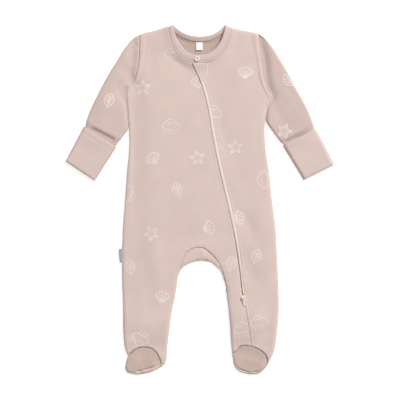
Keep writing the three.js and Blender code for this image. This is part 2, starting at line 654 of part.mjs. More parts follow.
// Flattened tubes. A ring is given by the tube's two edges in plan, its height and how far it is drawn in.
const END_ANGLES = [-90, -50, -15, 15, 50, 90];
const TOP_SHARES = [0.25, 0.5, 0.75];
function ringPoints(ends, { height, inset = 0, crown = 0, angles = END_ANGLES, closed = true }) {
  const across = new THREE.Vector2(ends.underX - ends.topX, ends.underLevel - ends.topLevel);
  const width = across.length() - 2 * inset;
  across.normalize();
  const radius = height / 2;
  const place = (reach, z) => {
    const along = inset + reach;
    return [ends.topX + across.x * along, ends.topLevel + across.y * along, z];
  };
  const end = (angle, thick, far) => {
    const turn = THREE.MathUtils.degToRad(angle);
    const reach = radius - (radius - thick) * Math.cos(turn);
    return place(far ? width - reach : reach, radius + (radius - thick) * Math.sin(turn));
  };
  const top = (share, thick) => {
    const domed = height + crown * Math.sin(Math.PI * share);
    const [x, y, z] = place(radius + (width - 2 * radius) * share, domed - thick);
    return [x, y, z + folds(x, y)];
  };
  const both = (make) => ({ outer: make(0), inner: make(CLOTH) });
  return [
    ...angles.map((angle) => both((thick) => end(angle, thick, false))),
    ...TOP_SHARES.map((share) => both((thick) => top(share, thick))),
    ...angles.toReversed().map((angle) => both((thick) => end(angle, thick, true))),
    ...(closed ? [both((thick) => place(width / 2, thick))] : []),
  ];
}

const between = (a, b, t) =>
  Object.fromEntries(Object.keys(a).map((key) => [key, a[key] + (b[key] - a[key]) * t]));

// The sleeve ends a little inside the mouth of the mitt flap, lower there than the flap.
const ARMHOLE_GAP = SEAM_GAP + 0.1;
function makeSleeve(name) {
  const table = SLEEVES[name];
  const { mouth, hem } = CUFFS[name];
  const cuffShape = { height: CUFF_HEIGHT, inset: CUFF_INSET };
  const rings = [
    ...table.slice(0, -1).map((ends) => ringPoints(ends, { height: BODY_HEIGHT, crown: SLEEVE_CROWN })),
    ringPoints(table.at(-1), { height: BODY_HEIGHT - SLEEVE_END.drop, inset: SLEEVE_END.inset }),
    ringPoints(between(mouth, hem, SLEEVE_END.share), cuffShape),
    ringPoints(between(mouth, hem, SLEEVE_STOP), cuffShape),
  ];
  const [column, out] = name === "right" ? ["left", -1] : ["right", 1];
  const rows = BODY_ROWS.filter((level) => level > UNDERARM_END_LEVEL);
  const bodySide = rows.map((y) => [at(SIDES, column, y), y]);
  const cut = block([...moved(bodySide, out * ARMHOLE_GAP), [0, UNDERARM_END_LEVEL], [0, ABOVE]]);
  return clean(wall([rings], true).subtract(cut));
}

function makeCuff(name) {
  const { mouth, hem } = CUFFS[name];
  const shape = { height: CUFF_HEIGHT, inset: CUFF_INSET };
  const shares = [CUFF_START, 0.35, 0.65, 1];
  const rings = shares.map((t) => ringPoints(between(mouth, hem, t), shape));
  return wall([rings], true);
}

// The mitt flap wraps the front of the cuff from edge to edge, and its mouth stands open.
const FLAP_SHARES = [0, 0.06, 0.16, 0.4, 0.7, 1];
const FLAP_ANGLES = [-30, 0, 30, 60, 90];
function makeFlap(name) {
  const { mouth, hem } = CUFFS[name];
  const rings = FLAP_SHARES.map((t) => {
    const crown = FLAP_MOUTH.lift * (1 - smooth(t / FLAP_MOUTH.reach));
    const shape = { height: FLAP_HEIGHT, crown, angles: FLAP_ANGLES, closed: false };
    return ringPoints(between(mouth, hem, t), shape);
  });
  return wall([rings]);
}

// Neckband: a doubled strip of rib swept round the neck between its seam and its folded edge.
// Its section goes by share of the width from the seam, and by height as a share of the thickness.
const BAND_STEPS = 2;
const BAND_CROWN = 0.54;
const BAND_SECTION = [
  { share: 0.05, rise: -0.5 },
  { share: 0.05, rise: 0.5 },
  { share: 0.35, rise: BAND_CROWN },
  { share: 0.75, rise: BAND_CROWN },
  { share: 0.97, rise: 0.25 },
  { share: 0.97, rise: -0.25 },
  { share: 0.75, rise: -0.5 },
];
function makeNeckband() {
  const spline = (x, level, z) =>
    new THREE.CatmullRomCurve3(NECKBAND.map((row) => new THREE.Vector3(row[x], row[level], row[z])));
  const count = BAND_STEPS * (NECKBAND.length - 1);
  const seams = spline("seamX", "seamLevel", "seamZ").getPoints(count);
  const edges = spline("edgeX", "edgeLevel", "edgeZ").getPoints(count);
  const rings = seams.map((seam, i) => {
    const ahead = seams[Math.min(i + 1, count)].clone().sub(seams[Math.max(i - 1, 0)]);
    const across = edges[i].clone().sub(seam);
    const width = across.length();
    across.normalize();
    const up = new THREE.Vector3().crossVectors(across, ahead).normalize();
    const place = ({ share, rise }) =>
      seam.clone().addScaledVector(across, share * width).addScaledVector(up, rise * RIB);
    return BAND_SECTION.map((corner) => place(corner).toArray());
  });
  return closedTube(rings);
}

// A solid swept through rings of points, each with the same count, and closed by a fan at both ends.
function closedTube(rings) {
  const count = rings[0].length;
  const triangles = [];
  for (let j = 0; j + 1 < rings.length; j++)
    for (let i = 0; i < count; i++) {
      const next = (i + 1) % count;
      const [a, b] = [j * count + i, j * count + next];
      triangles.push(a, a + count, b + count, a, b + count, b);
    }
  const last = (rings.length - 1) * count;
  for (let i = 1; i + 1 < count; i++) {
    triangles.push(0, i, i + 1);
    triangles.push(last, last + i + 1, last + i);
  }
  return asSolid(rings.flat(), triangles);
}

// Zip tape: the narrow strip that shows between the two fronts, a little below them and domed
const TAPE = { drop: 0.5, thick: 1.4, dome: 0.6, sideGap: SEAM_GAP + 0.05, step: 12 };
function makeTape() {
  const rings = levels(ZIP_TOP_LEVEL, ZIP_END_LEVEL + 1, TAPE.step).map((y) => {
    const left = zipX(y) + TAPE.sideGap;
    const right = zipX(y) + tapeWidth(y) - TAPE.sideGap;
    const middle = (left + right) / 2;
    const top = bodyTop(middle, y) - TAPE.drop;
    return [
      [left, y, top - TAPE.thick],
      [right, y, top - TAPE.thick],
      [right, y, top],
      [middle, y, top + TAPE.dome],
      [left, y, top],
    ];
  });
  return closedTube(rings);
}

// Chin guard: a patch of cloth that lies on the left front over the top of the zip
const GUARD_STEP = 5;
function makeChinGuard() {
  const { right, top, corner, bottom, point, lap, thick } = CHIN_GUARD;
  const lowestRight = zipX(bottom) + point;
  const rows = levels(top, bottom, GUARD_STEP).map((y) => {
    const from = zipX(y) + lap;
    const to = lowestRight + (right - lowestRight) * Math.min((y - bottom) / (corner - bottom), 1);
    return [0, 0.33, 0.67, 1].map((share) => {
      const x = from + (to - from) * share;
      const z = bodyTop(x, y) + SEAM_GAP * 1.5;
      return { outer: [x, y, z + thick], inner: [x, y, z] };
    });
  });
  return wall([rows]);
}

// Snap: a ring stud with a dished middle, as shares of its radius and height
const SNAP_PROFILE = [
  { out: 0, up: 0 },
  { out: 1, up: 0 },
  { out: 1, up: 0.4 },
  { out: 0.84, up: 1 },
  { out: 0.56, up: 1 },
  { out: 0.42, up: 0.5 },
  { out: 0, up: 0.45 },
];
const SNAP_SIDES = 24;
function makeSnap() {
  const profile = SNAP_PROFILE.map(({ out, up }) => new THREE.Vector2(out * SNAP.radius, up * SNAP.height));
  return solidOf(new THREE.LatheGeometry(profile, SNAP_SIDES).rotateX(Math.PI / 2));
}

function makeNeckLabel() {
  const { x, level, width, length, thick } = NECK_LABEL;
  const onBack = CLOTH + SEAM_GAP;
  return box(width, length, thick).translate([x, level, onBack + thick / 2]);
}

function makeSideLabel() {
  const { x, level, reach, lowerReach, length, taper, thick } = SIDE_LABEL;
  const plan = [
    [x, level - length / 2],
    [x, level + length / 2],
    [x - reach, level + length / 2 - taper / 2],
    [x - reach * lowerReach, level - length / 2 + taper / 2],
  ];
  return plate(plan, SEAM_HEIGHT - thick, SEAM_HEIGHT);
}

// Slider with two ears and a pin across them, and the pull tab whose eye turns on that pin.
// Both are drawn with the pin at the origin, along X, and the zip running along Y.
const PIN_RISE = SLIDER.height + PULL.eye + PULL.slack;
const EAR = { width: 0.9, length: 2.6, abovePin: 0.6, root: 0.1 };
const SLIDER_CORNER = 1.3;
const PIN_SIDES = 16;
const EYE_SIDES = 20;
function rod(radius, length, sides) {
  return solidOf(new THREE.CylinderGeometry(radius, radius, length, sides).rotateZ(Math.PI / 2));
}
const box = (x, y, z) => solidOf(new THREE.BoxGeometry(x, y, z));

function makeSlider() {
  const span = PULL.width + 2 * PULL.slack + 2 * EAR.width;
  const [halfWidth, halfLength] = [SLIDER.width / 2, SLIDER.length / 2];
  const plan = [
    [-halfWidth, -halfLength + SLIDER_CORNER],
    [-halfWidth + SLIDER_CORNER, -halfLength],
    [halfWidth - SLIDER_CORNER, -halfLength],
    [halfWidth, -halfLength + SLIDER_CORNER],
    [halfWidth, halfLength - SLIDER_CORNER],
    [halfWidth - SLIDER_CORNER, halfLength],
    [-halfWidth + SLIDER_CORNER, halfLength],
    [-halfWidth, halfLength - SLIDER_CORNER],
  ];
  const deck = -PIN_RISE + SLIDER.height;
  const earHeight = -deck + PULL.pin + EAR.abovePin;
  const ears = [-1, 1].map((side) =>
    box(EAR.width, EAR.length, earHeight).translate([
      (side * (span - EAR.width)) / 2,
      0,
      deck + earHeight / 2 - EAR.root,
    ]),
  );
  const cross = rod(PULL.pin, span - EAR.width / 2, PIN_SIDES);
  return [...ears, cross].reduce((sum, piece) => sum.add(piece), plate(plan, -PIN_RISE, deck));
}

function makePull() {
  const { width, length, thick, eye, pin, slack } = PULL;
  const tab = box(width, length, thick).translate([0, -length / 2 - pin - slack, 0]);
  return tab.add(rod(eye, width, EYE_SIDES)).subtract(rod(pin + slack, width * 2, EYE_SIDES));
}

// Colours of the real garment
const MATERIALS = {
  cloth: new THREE.MeshStandardMaterial({ color: 0xd8c3bc, roughness: 0.95 }),
  rib: new THREE.MeshStandardMaterial({ color: 0xd9c5be, roughness: 0.95 }),
  tape: new THREE.MeshStandardMaterial({ color: 0xe6d7cb, roughness: 0.8 }),
  label: new THREE.MeshStandardMaterial({ color: 0xf7f7f8, roughness: 0.7 }),
  side_label: new THREE.MeshStandardMaterial({ color: 0xaea6b4, roughness: 0.8 }),
  snap: new THREE.MeshStandardMaterial({ color: 0xe3d8cc, roughness: 0.4 }),
  zip: new THREE.MeshStandardMaterial({ color: 0xe2d3c3, roughness: 0.45 }),
};

const suit = new THREE.Group();
suit.name = "footed_sleepsuit";
function addPart(name, solid, material) {
  const { vertProperties, triVerts } = solid.getMesh();
  const geometry = new THREE.BufferGeometry();
  geometry.setAttribute("position", new THREE.BufferAttribute(vertProperties, 3));
  geometry.setIndex(new THREE.BufferAttribute(triVerts, 1));
  const mesh = new THREE.Mesh(geometry, MATERIALS[material]);
  mesh.name = name;
  suit.add(mesh);
  return mesh;
}

for (const [name, solid] of Object.entries(makeFronts())) addPart(name, solid, "cloth");
addPart("back", makeBack(), "cloth");
addPart("crotch_gusset", makeGusset(), "cloth");
for (const side of ["right", "left"]) {
  addPart(`sleeve_${side}`, makeSleeve(side), "cloth");
  addPart(`cuff_${side}`, makeCuff(side), "cloth");
  addPart(`mitt_flap_${side}`, makeFlap(side), "cloth");
  addPart(`vamp_${side}`, makeVamp(side), "cloth");
  addPart(`sole_${side}`, makeSole(side), "cloth");
}
addPart("neckband", makeNeckband(), "rib");
addPart("zip_tape", makeTape(), "tape");
addPart("chin_guard", makeChinGuard(), "cloth");
addPart("neck_label", makeNeckLabel(), "label");
addPart("side_label", makeSideLabel(), "side_label");

const snap = addPart("snap", makeSnap(), "snap");
snap.position.set(SNAP.x, SNAP.level, NECKBAND[1].edgeZ + RIB * BAND_CROWN + SEAM_GAP);

// The slider lies along the seam that runs on below the zip.
const seamTurn = Math.atan2(zipX(SLIDER.level - SLIDER.length) - zipX(SLIDER.level), SLIDER.length);
const pin = new THREE.Group();
pin.position.set(SLIDER.x, SLIDER.level, bodyTop(SLIDER.x, SLIDER.level) + SEAM_GAP + PIN_RISE);
pin.rotation.z = seamTurn;
suit.add(pin);
pin.add(addPart("zip_slider", makeSlider(), "zip"));
const pull = addPart("zip_pull", makePull(), "zip");
pull.rotation.x = THREE.MathUtils.degToRad(PULL.droop);
pin.add(pull);

// The finished garment has its origin in the middle of its underside.
const bounds = new THREE.Box3().setFromObject(suit);
const middle = bounds.getCenter(new THREE.Vector3());
suit.position.set(-middle.x, -middle.y, -bounds.min.z);

export default suit;
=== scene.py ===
# Dresses the footed baby sleepsuit: cloth shells with seams and folds, zip, snap, labels and print.
# The cloth is worked out in millimetres as the solids are: x from the middle, y the level above the toes.
import math

import bpy
import numpy as np
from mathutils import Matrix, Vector
from mathutils.bvhtree import BVHTree
from mathutils.geometry import delaunay_2d_cdt


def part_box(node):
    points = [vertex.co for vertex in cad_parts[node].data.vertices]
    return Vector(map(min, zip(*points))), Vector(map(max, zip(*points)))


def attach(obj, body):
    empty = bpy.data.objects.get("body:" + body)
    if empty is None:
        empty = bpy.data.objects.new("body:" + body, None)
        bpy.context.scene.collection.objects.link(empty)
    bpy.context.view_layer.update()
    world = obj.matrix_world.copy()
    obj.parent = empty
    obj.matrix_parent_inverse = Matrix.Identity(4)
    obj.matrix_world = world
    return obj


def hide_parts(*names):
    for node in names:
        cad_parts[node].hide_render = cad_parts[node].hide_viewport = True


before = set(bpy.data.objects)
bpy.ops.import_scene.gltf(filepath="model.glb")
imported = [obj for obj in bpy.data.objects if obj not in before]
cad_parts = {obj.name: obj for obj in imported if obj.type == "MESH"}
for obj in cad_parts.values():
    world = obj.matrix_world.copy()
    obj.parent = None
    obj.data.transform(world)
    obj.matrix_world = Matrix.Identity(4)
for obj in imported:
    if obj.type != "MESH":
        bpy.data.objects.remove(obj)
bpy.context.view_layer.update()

SHIFT = np.array([-0.6, -288.57, 0.0])  # from the drawing to the frame
MM = 0.001

# Cloth and heights, as in the solids
CLOTH = 1.5
RIB = 2.4
GUARD_CLOTH = 0.9
LABEL_CLOTH = 0.35
SIDE_LABEL_CLOTH = 0.8
SEAM_GAP = 0.3
SEAM_HEIGHT = 3.8
BACK_SEAM = 3.5
BODY_HEIGHT = 7.2
EDGE_ROLL = 6.0
CROTCH_LEVEL = 188.3
HEEL_LEVEL = 38.0
ZIP_TOP_LEVEL = 512.5
ZIP_END_LEVEL = 133.0
RIGHT_ARMPIT = 470.0
LEFT_ARMPIT = 459.0
ARMPITS = {"right": RIGHT_ARMPIT, "left": LEFT_ARMPIT}
COLUMN = {"right": "left", "left": "right"}  # the wearer's right is on the left of the drawing
OUTWARD = {"right": -1, "left": 1}
SHOULDER_TIP = 561.0
FOOT_LEVEL = 70.0
UNDERARM_END = 380.0
SLEEVE_HEIGHT = 7.2
CUFF_HEIGHT = 5.2
CUFF_INSET = 2.2
FLAP_HEIGHT = 7.4

# Spacing of the meshes
OUTLINE_STEP = 1.6
CURVE_STEPS = 8
GRID = 2.3
EDGE_ROWS = (0.35, 0.9, 1.5, 2.2, 3.0, 3.8, 4.8, 6.0)
BLOCK = 4000  # points whose distances are worked out at a time
FAR = 60  # above and below all cloth


def table(columns, *rows):
    """Rows of numbers as one array for each named column."""
    return {name: np.array([row[i] for row in rows], float) for i, name in enumerate(columns.split())}


SIDES = table(
    "level left right",
    (577, -49, 44.5), (573, -61, 54), (568.5, -75, 74), (564.5, -91, 95), (561, -98.3, 97.4),
    (548, -98.8, 98), (519, -100.5, 102), (490, -106.4, 105.6), (476, -114.5, 109.6), (470, -120.6, 112.4),
    (459, -121.3, 116.5), (437, -119.1, 110), (405, -116.3, 107.6), (371, -116.3, 109.7),
    (338, -119.4, 114.7), (291, -122.9, 119.6), (245, -126.2, 125.4), (203, -127.9, 128), (160, -127.9, 130),
    (110, -126.4, 131.2), (80, -126.2, 129.5), (54, -124.6, 126.2), (41, -122.4, 124), (32, -118.7, 120.6),
    (24, -120.5, 116.5), (15.5, -122.4, 112.3), (8, -122, 106.5), (2.5, -117, 99.5), (0.3, -105, 92),
)
INSEAM = table(
    "level left right",
    (188.3, 2, 2), (186.5, -9.5, 16), (178.4, -25.9, 27.5), (170.8, -31.7, 34.8), (160, -35.5, 38.8),
    (149, -37, 42.6), (127, -40.4, 45.4), (107, -45, 47.9), (80, -48.7, 50.3), (54, -52, 52),
    (34, -53.3, 54), (21.5, -55.4, 55.8), (15, -59.5, 57.4), (9.6, -68.8, 61), (3.8, -81.5, 69),
    (0.3, -98, 84),
)
ZIP_LINE = table(
    "level x",
    (530, -19), (513.6, -12), (482.3, 2.1), (439.2, 13.9), (406.9, 19), (360.5, 27.9), (309.9, 39.6),
    (260.7, 51), (216.5, 60.1), (172.3, 66.7), (132.5, 71.3), (106.1, 76.2), (66.3, 83), (30, 87),
)
TAPE_SHOWN = table("level width", (530, 5.2), (240, 5), (133, 2.6))
SLEEVES = {
    "right": table(
        "top_x top_level under_x under_level",
        (-90, 561.5, -110, 474), (-98.5, 562, -121, 469.5), (-111.5, 553.8, -121.6, 465),
        (-124, 538.5, -121.8, 459), (-137.8, 516, -120.9, 448), (-149.4, 497.5, -119.6, 435),
        (-160.9, 476.5, -118.2, 420), (-171, 456.5, -117.6, 407), (-180.5, 436.5, -122.9, 398),
        (-186.6, 419, -131.5, 386.5), (-188.6, 410, -138.2, 378.4),
    ),
    "left": table(
        "top_x top_level under_x under_level",
        (89, 561.5, 107, 464), (97.8, 563, 118.6, 460), (110.5, 553.8, 118.4, 455.5),
        (122, 539, 115.6, 449.5), (136.1, 516, 113, 442), (147, 497.6, 111, 432.5),
        (157.8, 476.5, 109.8, 421.5), (170, 455, 113.4, 412), (180.5, 434, 122, 400.5),
        (187, 417, 132, 386.5), (190, 407, 138.6, 380.8),
    ),
}
CUFFS = {  # corners of each cuff: upper and lower end of the mitt's mouth, then of the hem
    "right": np.array([(-190.2, 409.4), (-138.6, 376.6), (-220.6, 351.5), (-174.1, 320.6)]),
    "left": np.array([(191.6, 405.6), (138.8, 379), (221.8, 346.3), (173.3, 322.1)]),
}
NECKBAND = table(
    "seam_x seam_level seam_z edge_x edge_level edge_z",
    (13.4, 514.8, 8.7, 12.7, 529.3, 9.6), (0, 513.6, 8.4, 0, 527.9, 9.4),
    (-12.2, 514.5, 8.1, -11, 528.9, 9.2),
    (-25.4, 519, 7.9, -21.5, 534.5, 9.2), (-36.5, 527.6, 7.9, -29, 542.8, 9.2),
    (-43.5, 538.4, 7.9, -35.5, 552.5, 9.2), (-48, 552, 8, -40.3, 563.5, 9.2), (-50.8, 566, 8, -43, 572.6, 9),
    (-51.6, 572.5, 5.3, -43.8, 577, 6.4), (-46.5, 569, 2.7, -40, 575, 4.2), (-35, 561, 2.2, -31, 567.4, 5.6),
    (-19, 553.6, 2.2, -17.5, 561.2, 7), (0, 551, 2.2, 0, 558.7, 7.6), (19, 553.3, 2.2, 17.5, 560.8, 7),
    (33, 560.6, 2.2, 29.5, 566.6, 5.6), (44.4, 568.6, 2.7, 38.6, 574.8, 4.2),
    (50.8, 572.3, 5.3, 42.4, 577, 6.4), (52.2, 565.5, 8, 41.4, 571.8, 9), (50, 553, 8, 39, 562, 9.2),
    (44.8, 541, 7.9, 35, 551.5, 9.2), (35.6, 528, 7.9, 27.8, 541, 9.2), (24.5, 519.6, 7.9, 19.8, 533.8, 9),
    (14.2, 515.2, 7.6, 13.5, 529.7, 8.8),
)
NECK_FRONT_END = 8
NECK_BACK_END = 17
CROTCH_ARC = np.array([
    (-38.6, 146), (-35.6, 163), (-31.6, 181), (-26.6, 194), (-20, 203.6), (-10.7, 209.2), (-1, 211),
    (8.4, 209.4), (18, 202), (27, 193), (34.7, 180.4), (40.2, 166), (44.5, 148),
])
BELOW_GUSSET = 120.0
FEET = {
    "right": {
        "ankle": np.array([(-132, 29), (-119, 33), (-113, 38.5), (-103.5, 44.4), (-91.5, 46.6), (-79, 44.6),
                           (-70, 37), (-64.5, 26.5), (-62.5, 18)]),
        "toes": np.array([(-76.6, 12.7), (-96.4, 6.9), (-114, 4.6), (-132, 7)]),
        "strip_end": (-48, 14.5),
    },
    "left": {
        "ankle": np.array([(46, 34), (57.5, 38.5), (67, 47.6), (77, 49.4), (91, 46.2), (103, 40.4),
                           (110, 33.6), (113, 26), (112.6, 19)]),
        "toes": np.array([(107, 11), (98.5, 6), (88, 4.4), (77, 5.6), (66.5, 9.4), (59, 15.5), (46, 21)]),
        "strip_end": (128, 13),
    },
}
ANKLE = {"height": 9.2, "from": 96, "reach": 50, "toe_from": 12, "toe_reach": 22}
VAMP = {"swell": 1.2, "height": 7.0, "drop_reach": 6, "toe_rise": 1.4, "toe_from": 12, "toe_reach": 14}
GUSSET = {"drop": 1.2, "fold_x": 6, "fold_width": 5, "fold_from": 211, "fold_reach": 12}
CHIN_GUARD = {"right": 12.4, "top": 514.4, "corner": 498.5, "bottom": 482.0, "point": 2.0, "lap": 0.2}
SNAP = {"x": -4.1, "level": 521.0, "radius": 4.6}

# Soft folds: middle, direction from +X in degrees, length, width and height
FOLDS = table(
    "x level angle length width lift",
    (-80, 523, 88, 56, 10, -1.2), (-33, 514, -36, 46, 6, -1.5), (60, 540, 80, 50, 9, -0.8),
    (-109, 385, 91, 330, 20, -2.3), (-117, 395, 91, 200, 5, 1.4), (-60, 430, 60, 80, 16, 0.8),
    (42, 388, -76, 96, 11, -1.1), (97, 262, 93, 200, 14, 1.4), (78, 250, -60, 74, 12, -1.6),
    (84, 172, -62, 60, 14, -1.3), (47, 190, 82, 76, 15, -1), (-8, 228, 8, 70, 14, -1),
    (-70, 168, 96, 100, 13, 1), (-82, 96, 36, 66, 12, -1.5), (-106, 68, 18, 42, 9, -1.3),
    (-98, 120, 70, 60, 12, 0.9), (99, 116, 66, 74, 11, 1.2), (61, 128, 95, 80, 13, 0.9),
    (108, 70, 30, 44, 9, -1.1), (-113, 488, -62, 44, 8, -2.2), (-140, 440, 62, 70, 11, -1.2),
    (-150, 455, 58, 90, 9, 0.9), (110, 510, -82, 84, 7, -2.2), (134, 424, -56, 70, 10, -1.2),
    (156, 446, -58, 90, 10, 0.9),
)
# Broad, soft forms that the light picks out, in the same columns
SOFT_FORMS = table(
    "x level angle length width lift",
    (-84, 300, 91, 300, 26, 0.9), (-45, 512, -35, 80, 15, -1.2),
    (-88, 88, 3, 130, 22, 3.4), (-88, 44, 6, 100, 14, -2.6), (-62, 175, 96, 150, 24, 0.8),
    (88, 88, 176, 120, 22, 3.2), (74, 46, 8, 80, 14, -2.6), (114, 84, 80, 80, 10, -1.5),
    (60, 300, 104, 170, 12, 0.9), (112, 220, 92, 260, 8, 0.6), (-30, 330, 95, 300, 40, 0.8),
    (-84, 470, 75, 90, 18, 0.9), (76, 470, 98, 120, 20, 0.8), (20, 240, 20, 90, 16, -0.7),
    (-150, 476, 58, 120, 12, 1.0), (-133, 425, 60, 60, 9, -1.0),
    (138, 488, 58, 110, 11, -1.3), (158, 470, -57, 110, 8, 0.9), (140, 405, 30, 50, 9, -0.8),
)
# Folds of the underside, lifted off the table
BACK_FOLDS = table(
    "x level angle length width lift",
    (-70, 430, 84, 130, 9, 0.9), (40, 400, 98, 160, 8, 0.8), (84, 480, 60, 70, 7, 0.9),
    (-20, 250, 40, 110, 10, 0.8), (70, 230, 120, 90, 8, 0.9), (-84, 150, 80, 110, 9, 0.8),
    (92, 120, 100, 110, 8, 0.9), (-80, 60, 20, 50, 7, 0.7), (84, 58, 160, 50, 7, 0.7),
    (0, 520, 5, 120, 8, 0.7),
)


# Curves
def at(rows, column, level, by="level"):
    """Smooth value of one column of a table at a level."""
    keys, values = rows[by], rows[column]
    if keys[0] > keys[-1]:
        keys, values = keys[::-1], values[::-1]
    level = np.clip(level, keys[0], keys[-1])
    last = len(keys) - 1
    k = np.clip(np.searchsorted(keys, level, side="left") - 1, 0, last - 1)
    before, after = np.maximum(k - 1, 0), np.minimum(k + 2, last)
    slope_in = (values[k + 1] - values[before]) / (keys[k + 1] - keys[before])
    slope_out = (values[after] - values[k]) / (keys[after] - keys[k])
    step = keys[k + 1] - keys[k]
    t = (level - keys[k]) / step
    return (
        values[k] * (1 + 2 * t) * (1 - t) ** 2
        + slope_in * step * t * (1 - t) ** 2
        + values[k + 1] * t * t * (3 - 2 * t)
        + slope_out * step * t * t * (t - 1)
    )


def smooth(t):
    """From 0 to 1 with a soft start and end."""
    u = np.clip(t, 0, 1)
    return u * u * (3 - 2 * u)


def curve(rows, steps):
    """Smooth curve through rows of points."""
    rows = np.asarray(rows, float)
    padded = np.vstack([rows[:1], rows, rows[-1:]])
    t = (np.arange(steps) / steps)[:, None]
    pieces = []
    for p0, p1, p2, p3 in zip(padded, padded[1:], padded[2:], padded[3:]):
        v0, v1 = (p2 - p0) / 2, (p3 - p1) / 2
        pieces.append(
            p1 + v0 * t + (3 * (p2 - p1) - 2 * v0 - v1) * t**2 + (2 * (p1 - p2) + v0 + v1) * t**3
        )
    return np.vstack([*pieces, rows[-1:]])


def edge(rows, column, start, end):
    """One edge of a table as a chain of points between two levels."""
    y = np.linspace(start, end, max(3, math.ceil(abs(start - end) / OUTLINE_STEP) + 1))
    return np.column_stack([at(rows, column, y), y])


def lengths(chain):
    """Distance along a chain, at each of its points."""
    return np.concatenate([[0], np.cumsum(np.linalg.norm(np.diff(chain, axis=0), axis=1))])


def spaced(chain, step):
    """The chain with its points about one step apart."""
    along = lengths(chain)
    marks = np.linspace(0, along[-1], max(2, round(along[-1] / step) + 1))
    return np.column_stack([np.interp(marks, along, chain[:, i]) for i in range(chain.shape[1])])


def sideways(chain, closed=False):
    """Unit vectors to the left of a chain."""
    ahead = np.roll(chain, -1, 0) - np.roll(chain, 1, 0) if closed else np.gradient(chain, axis=0)
    ahead /= np.maximum(np.linalg.norm(ahead, axis=1), 1e-9)[:, None]
    return np.column_stack([-ahead[:, 1], ahead[:, 0]])


def moved(chain, distance):
    """The chain moved to its left."""
    return chain + sideways(chain) * distance


def crossings(a, b):
    """Places where chain a crosses chain b, as positions along both."""
    p, r = a[:-1, None], np.diff(a, axis=0)[:, None]
    q, s = b[None, :-1], np.diff(b, axis=0)[None]
    turn = r[..., 0] * s[..., 1] - r[..., 1] * s[..., 0]
    turn = np.where(abs(turn) < 1e-12, 1e-12, turn)
    gap = q - p
    t = (gap[..., 0] * s[..., 1] - gap[..., 1] * s[..., 0]) / turn
    u = (gap[..., 0] * r[..., 1] - gap[..., 1] * r[..., 0]) / turn
    i, j = np.nonzero((t >= 0) & (t < 1) & (u >= 0) & (u < 1))
    return sorted(zip(i + t[i, j], j + u[i, j]))


def part_of(chain, start, end):
    """The stretch of a chain between two positions, turned round if it ends before it starts."""
    if start > end:
        return part_of(chain, end, start)[::-1]
    index = np.arange(len(chain))
    places = [start, *index[(index > start + 0.05) & (index < end - 0.05)], end]
    return np.column_stack([np.interp(places, index, chain[:, i]) for i in range(2)])


def ring(*chains):
    """Closed outline from chains that cross each other in turn."""
    meets = [crossings(a, b)[-1] for a, b in zip(chains, chains[1:] + chains[:1])]
    return np.vstack([part_of(chain, meets[i - 1][1], meets[i][0])[:-1] for i, chain in enumerate(chains)])


def lens(a, b):
    """Closed outline between two chains that cross twice."""
    meets = crossings(a, b)
    (a0, b0), (a1, b1) = meets[0], meets[-1]
    return np.vstack([part_of(a, a0, a1)[:-1], part_of(b, b1, b0)[:-1]])


def inside(points, outline):
    """Which points lie inside a closed outline."""
    x, y = points[:, :1], points[:, 1:2]
    ax, ay = outline[:, 0], outline[:, 1]
    bx, by = np.roll(ax, -1), np.roll(ay, -1)
    crosses = ((ay > y) != (by > y)) & (x < (bx - ax) * (y - ay) / np.where(by == ay, 1, by - ay) + ax)
    return crosses.sum(1) % 2 == 1


def nearest(chains, points):
    """Distance from each point to the nearest chain, and the position along it in millimetres."""
    best = np.full(len(points), 1e9)
    along = np.zeros(len(points))
    for chain in chains:
        a, d = chain[:-1], np.diff(chain, axis=0)
        square = np.maximum((d * d).sum(1), 1e-12)
        reached = lengths(chain)[:-1]
        for start in range(0, len(points), BLOCK):
            p = points[start : start + BLOCK, None]
            t = np.clip(((p - a) * d).sum(2) / square, 0, 1)
            gap = np.linalg.norm(p - a - d * t[..., None], axis=2)
            k = gap.argmin(1)
            rows = np.arange(len(k))
            near = gap[rows, k]
            span = slice(start, start + len(k))
            place = reached[k] + t[rows, k] * np.sqrt(square[k])
            along[span] = np.where(near < best[span], place, along[span])
            best[span] = np.minimum(near, best[span])
    return best, along


def looped(outline):
    """The outline with its first point again at its end."""
    return np.vstack([outline, outline[:1]])


def soft_line(points):
    """A smooth, evenly spaced line through points."""
    return spaced(curve(points, CURVE_STEPS), OUTLINE_STEP)


def spaced_sides(corners):
    """The sides between corners, each evenly spaced."""
    return [spaced(np.vstack(ends), OUTLINE_STEP) for ends in zip(corners, np.roll(corners, -1, 0))]


# Named lines of the cut
TOE = SIDES["level"][-1]
SHOULDER = SIDES["level"][0]
side_right = edge(SIDES, "left", SHOULDER, TOE)
side_left = edge(SIDES, "right", SHOULDER, TOE)
inseam_right = edge(INSEAM, "left", TOE, CROTCH_LEVEL)
inseam_left = edge(INSEAM, "right", CROTCH_LEVEL, TOE)
ABOVE = [(-48.5, 600), (48, 600)]  # where the neck lines run out over the garment
NECK_FOLD_OUT = 0.15  # how far the neck seam turns out at its folds, in thicknesses of the rib

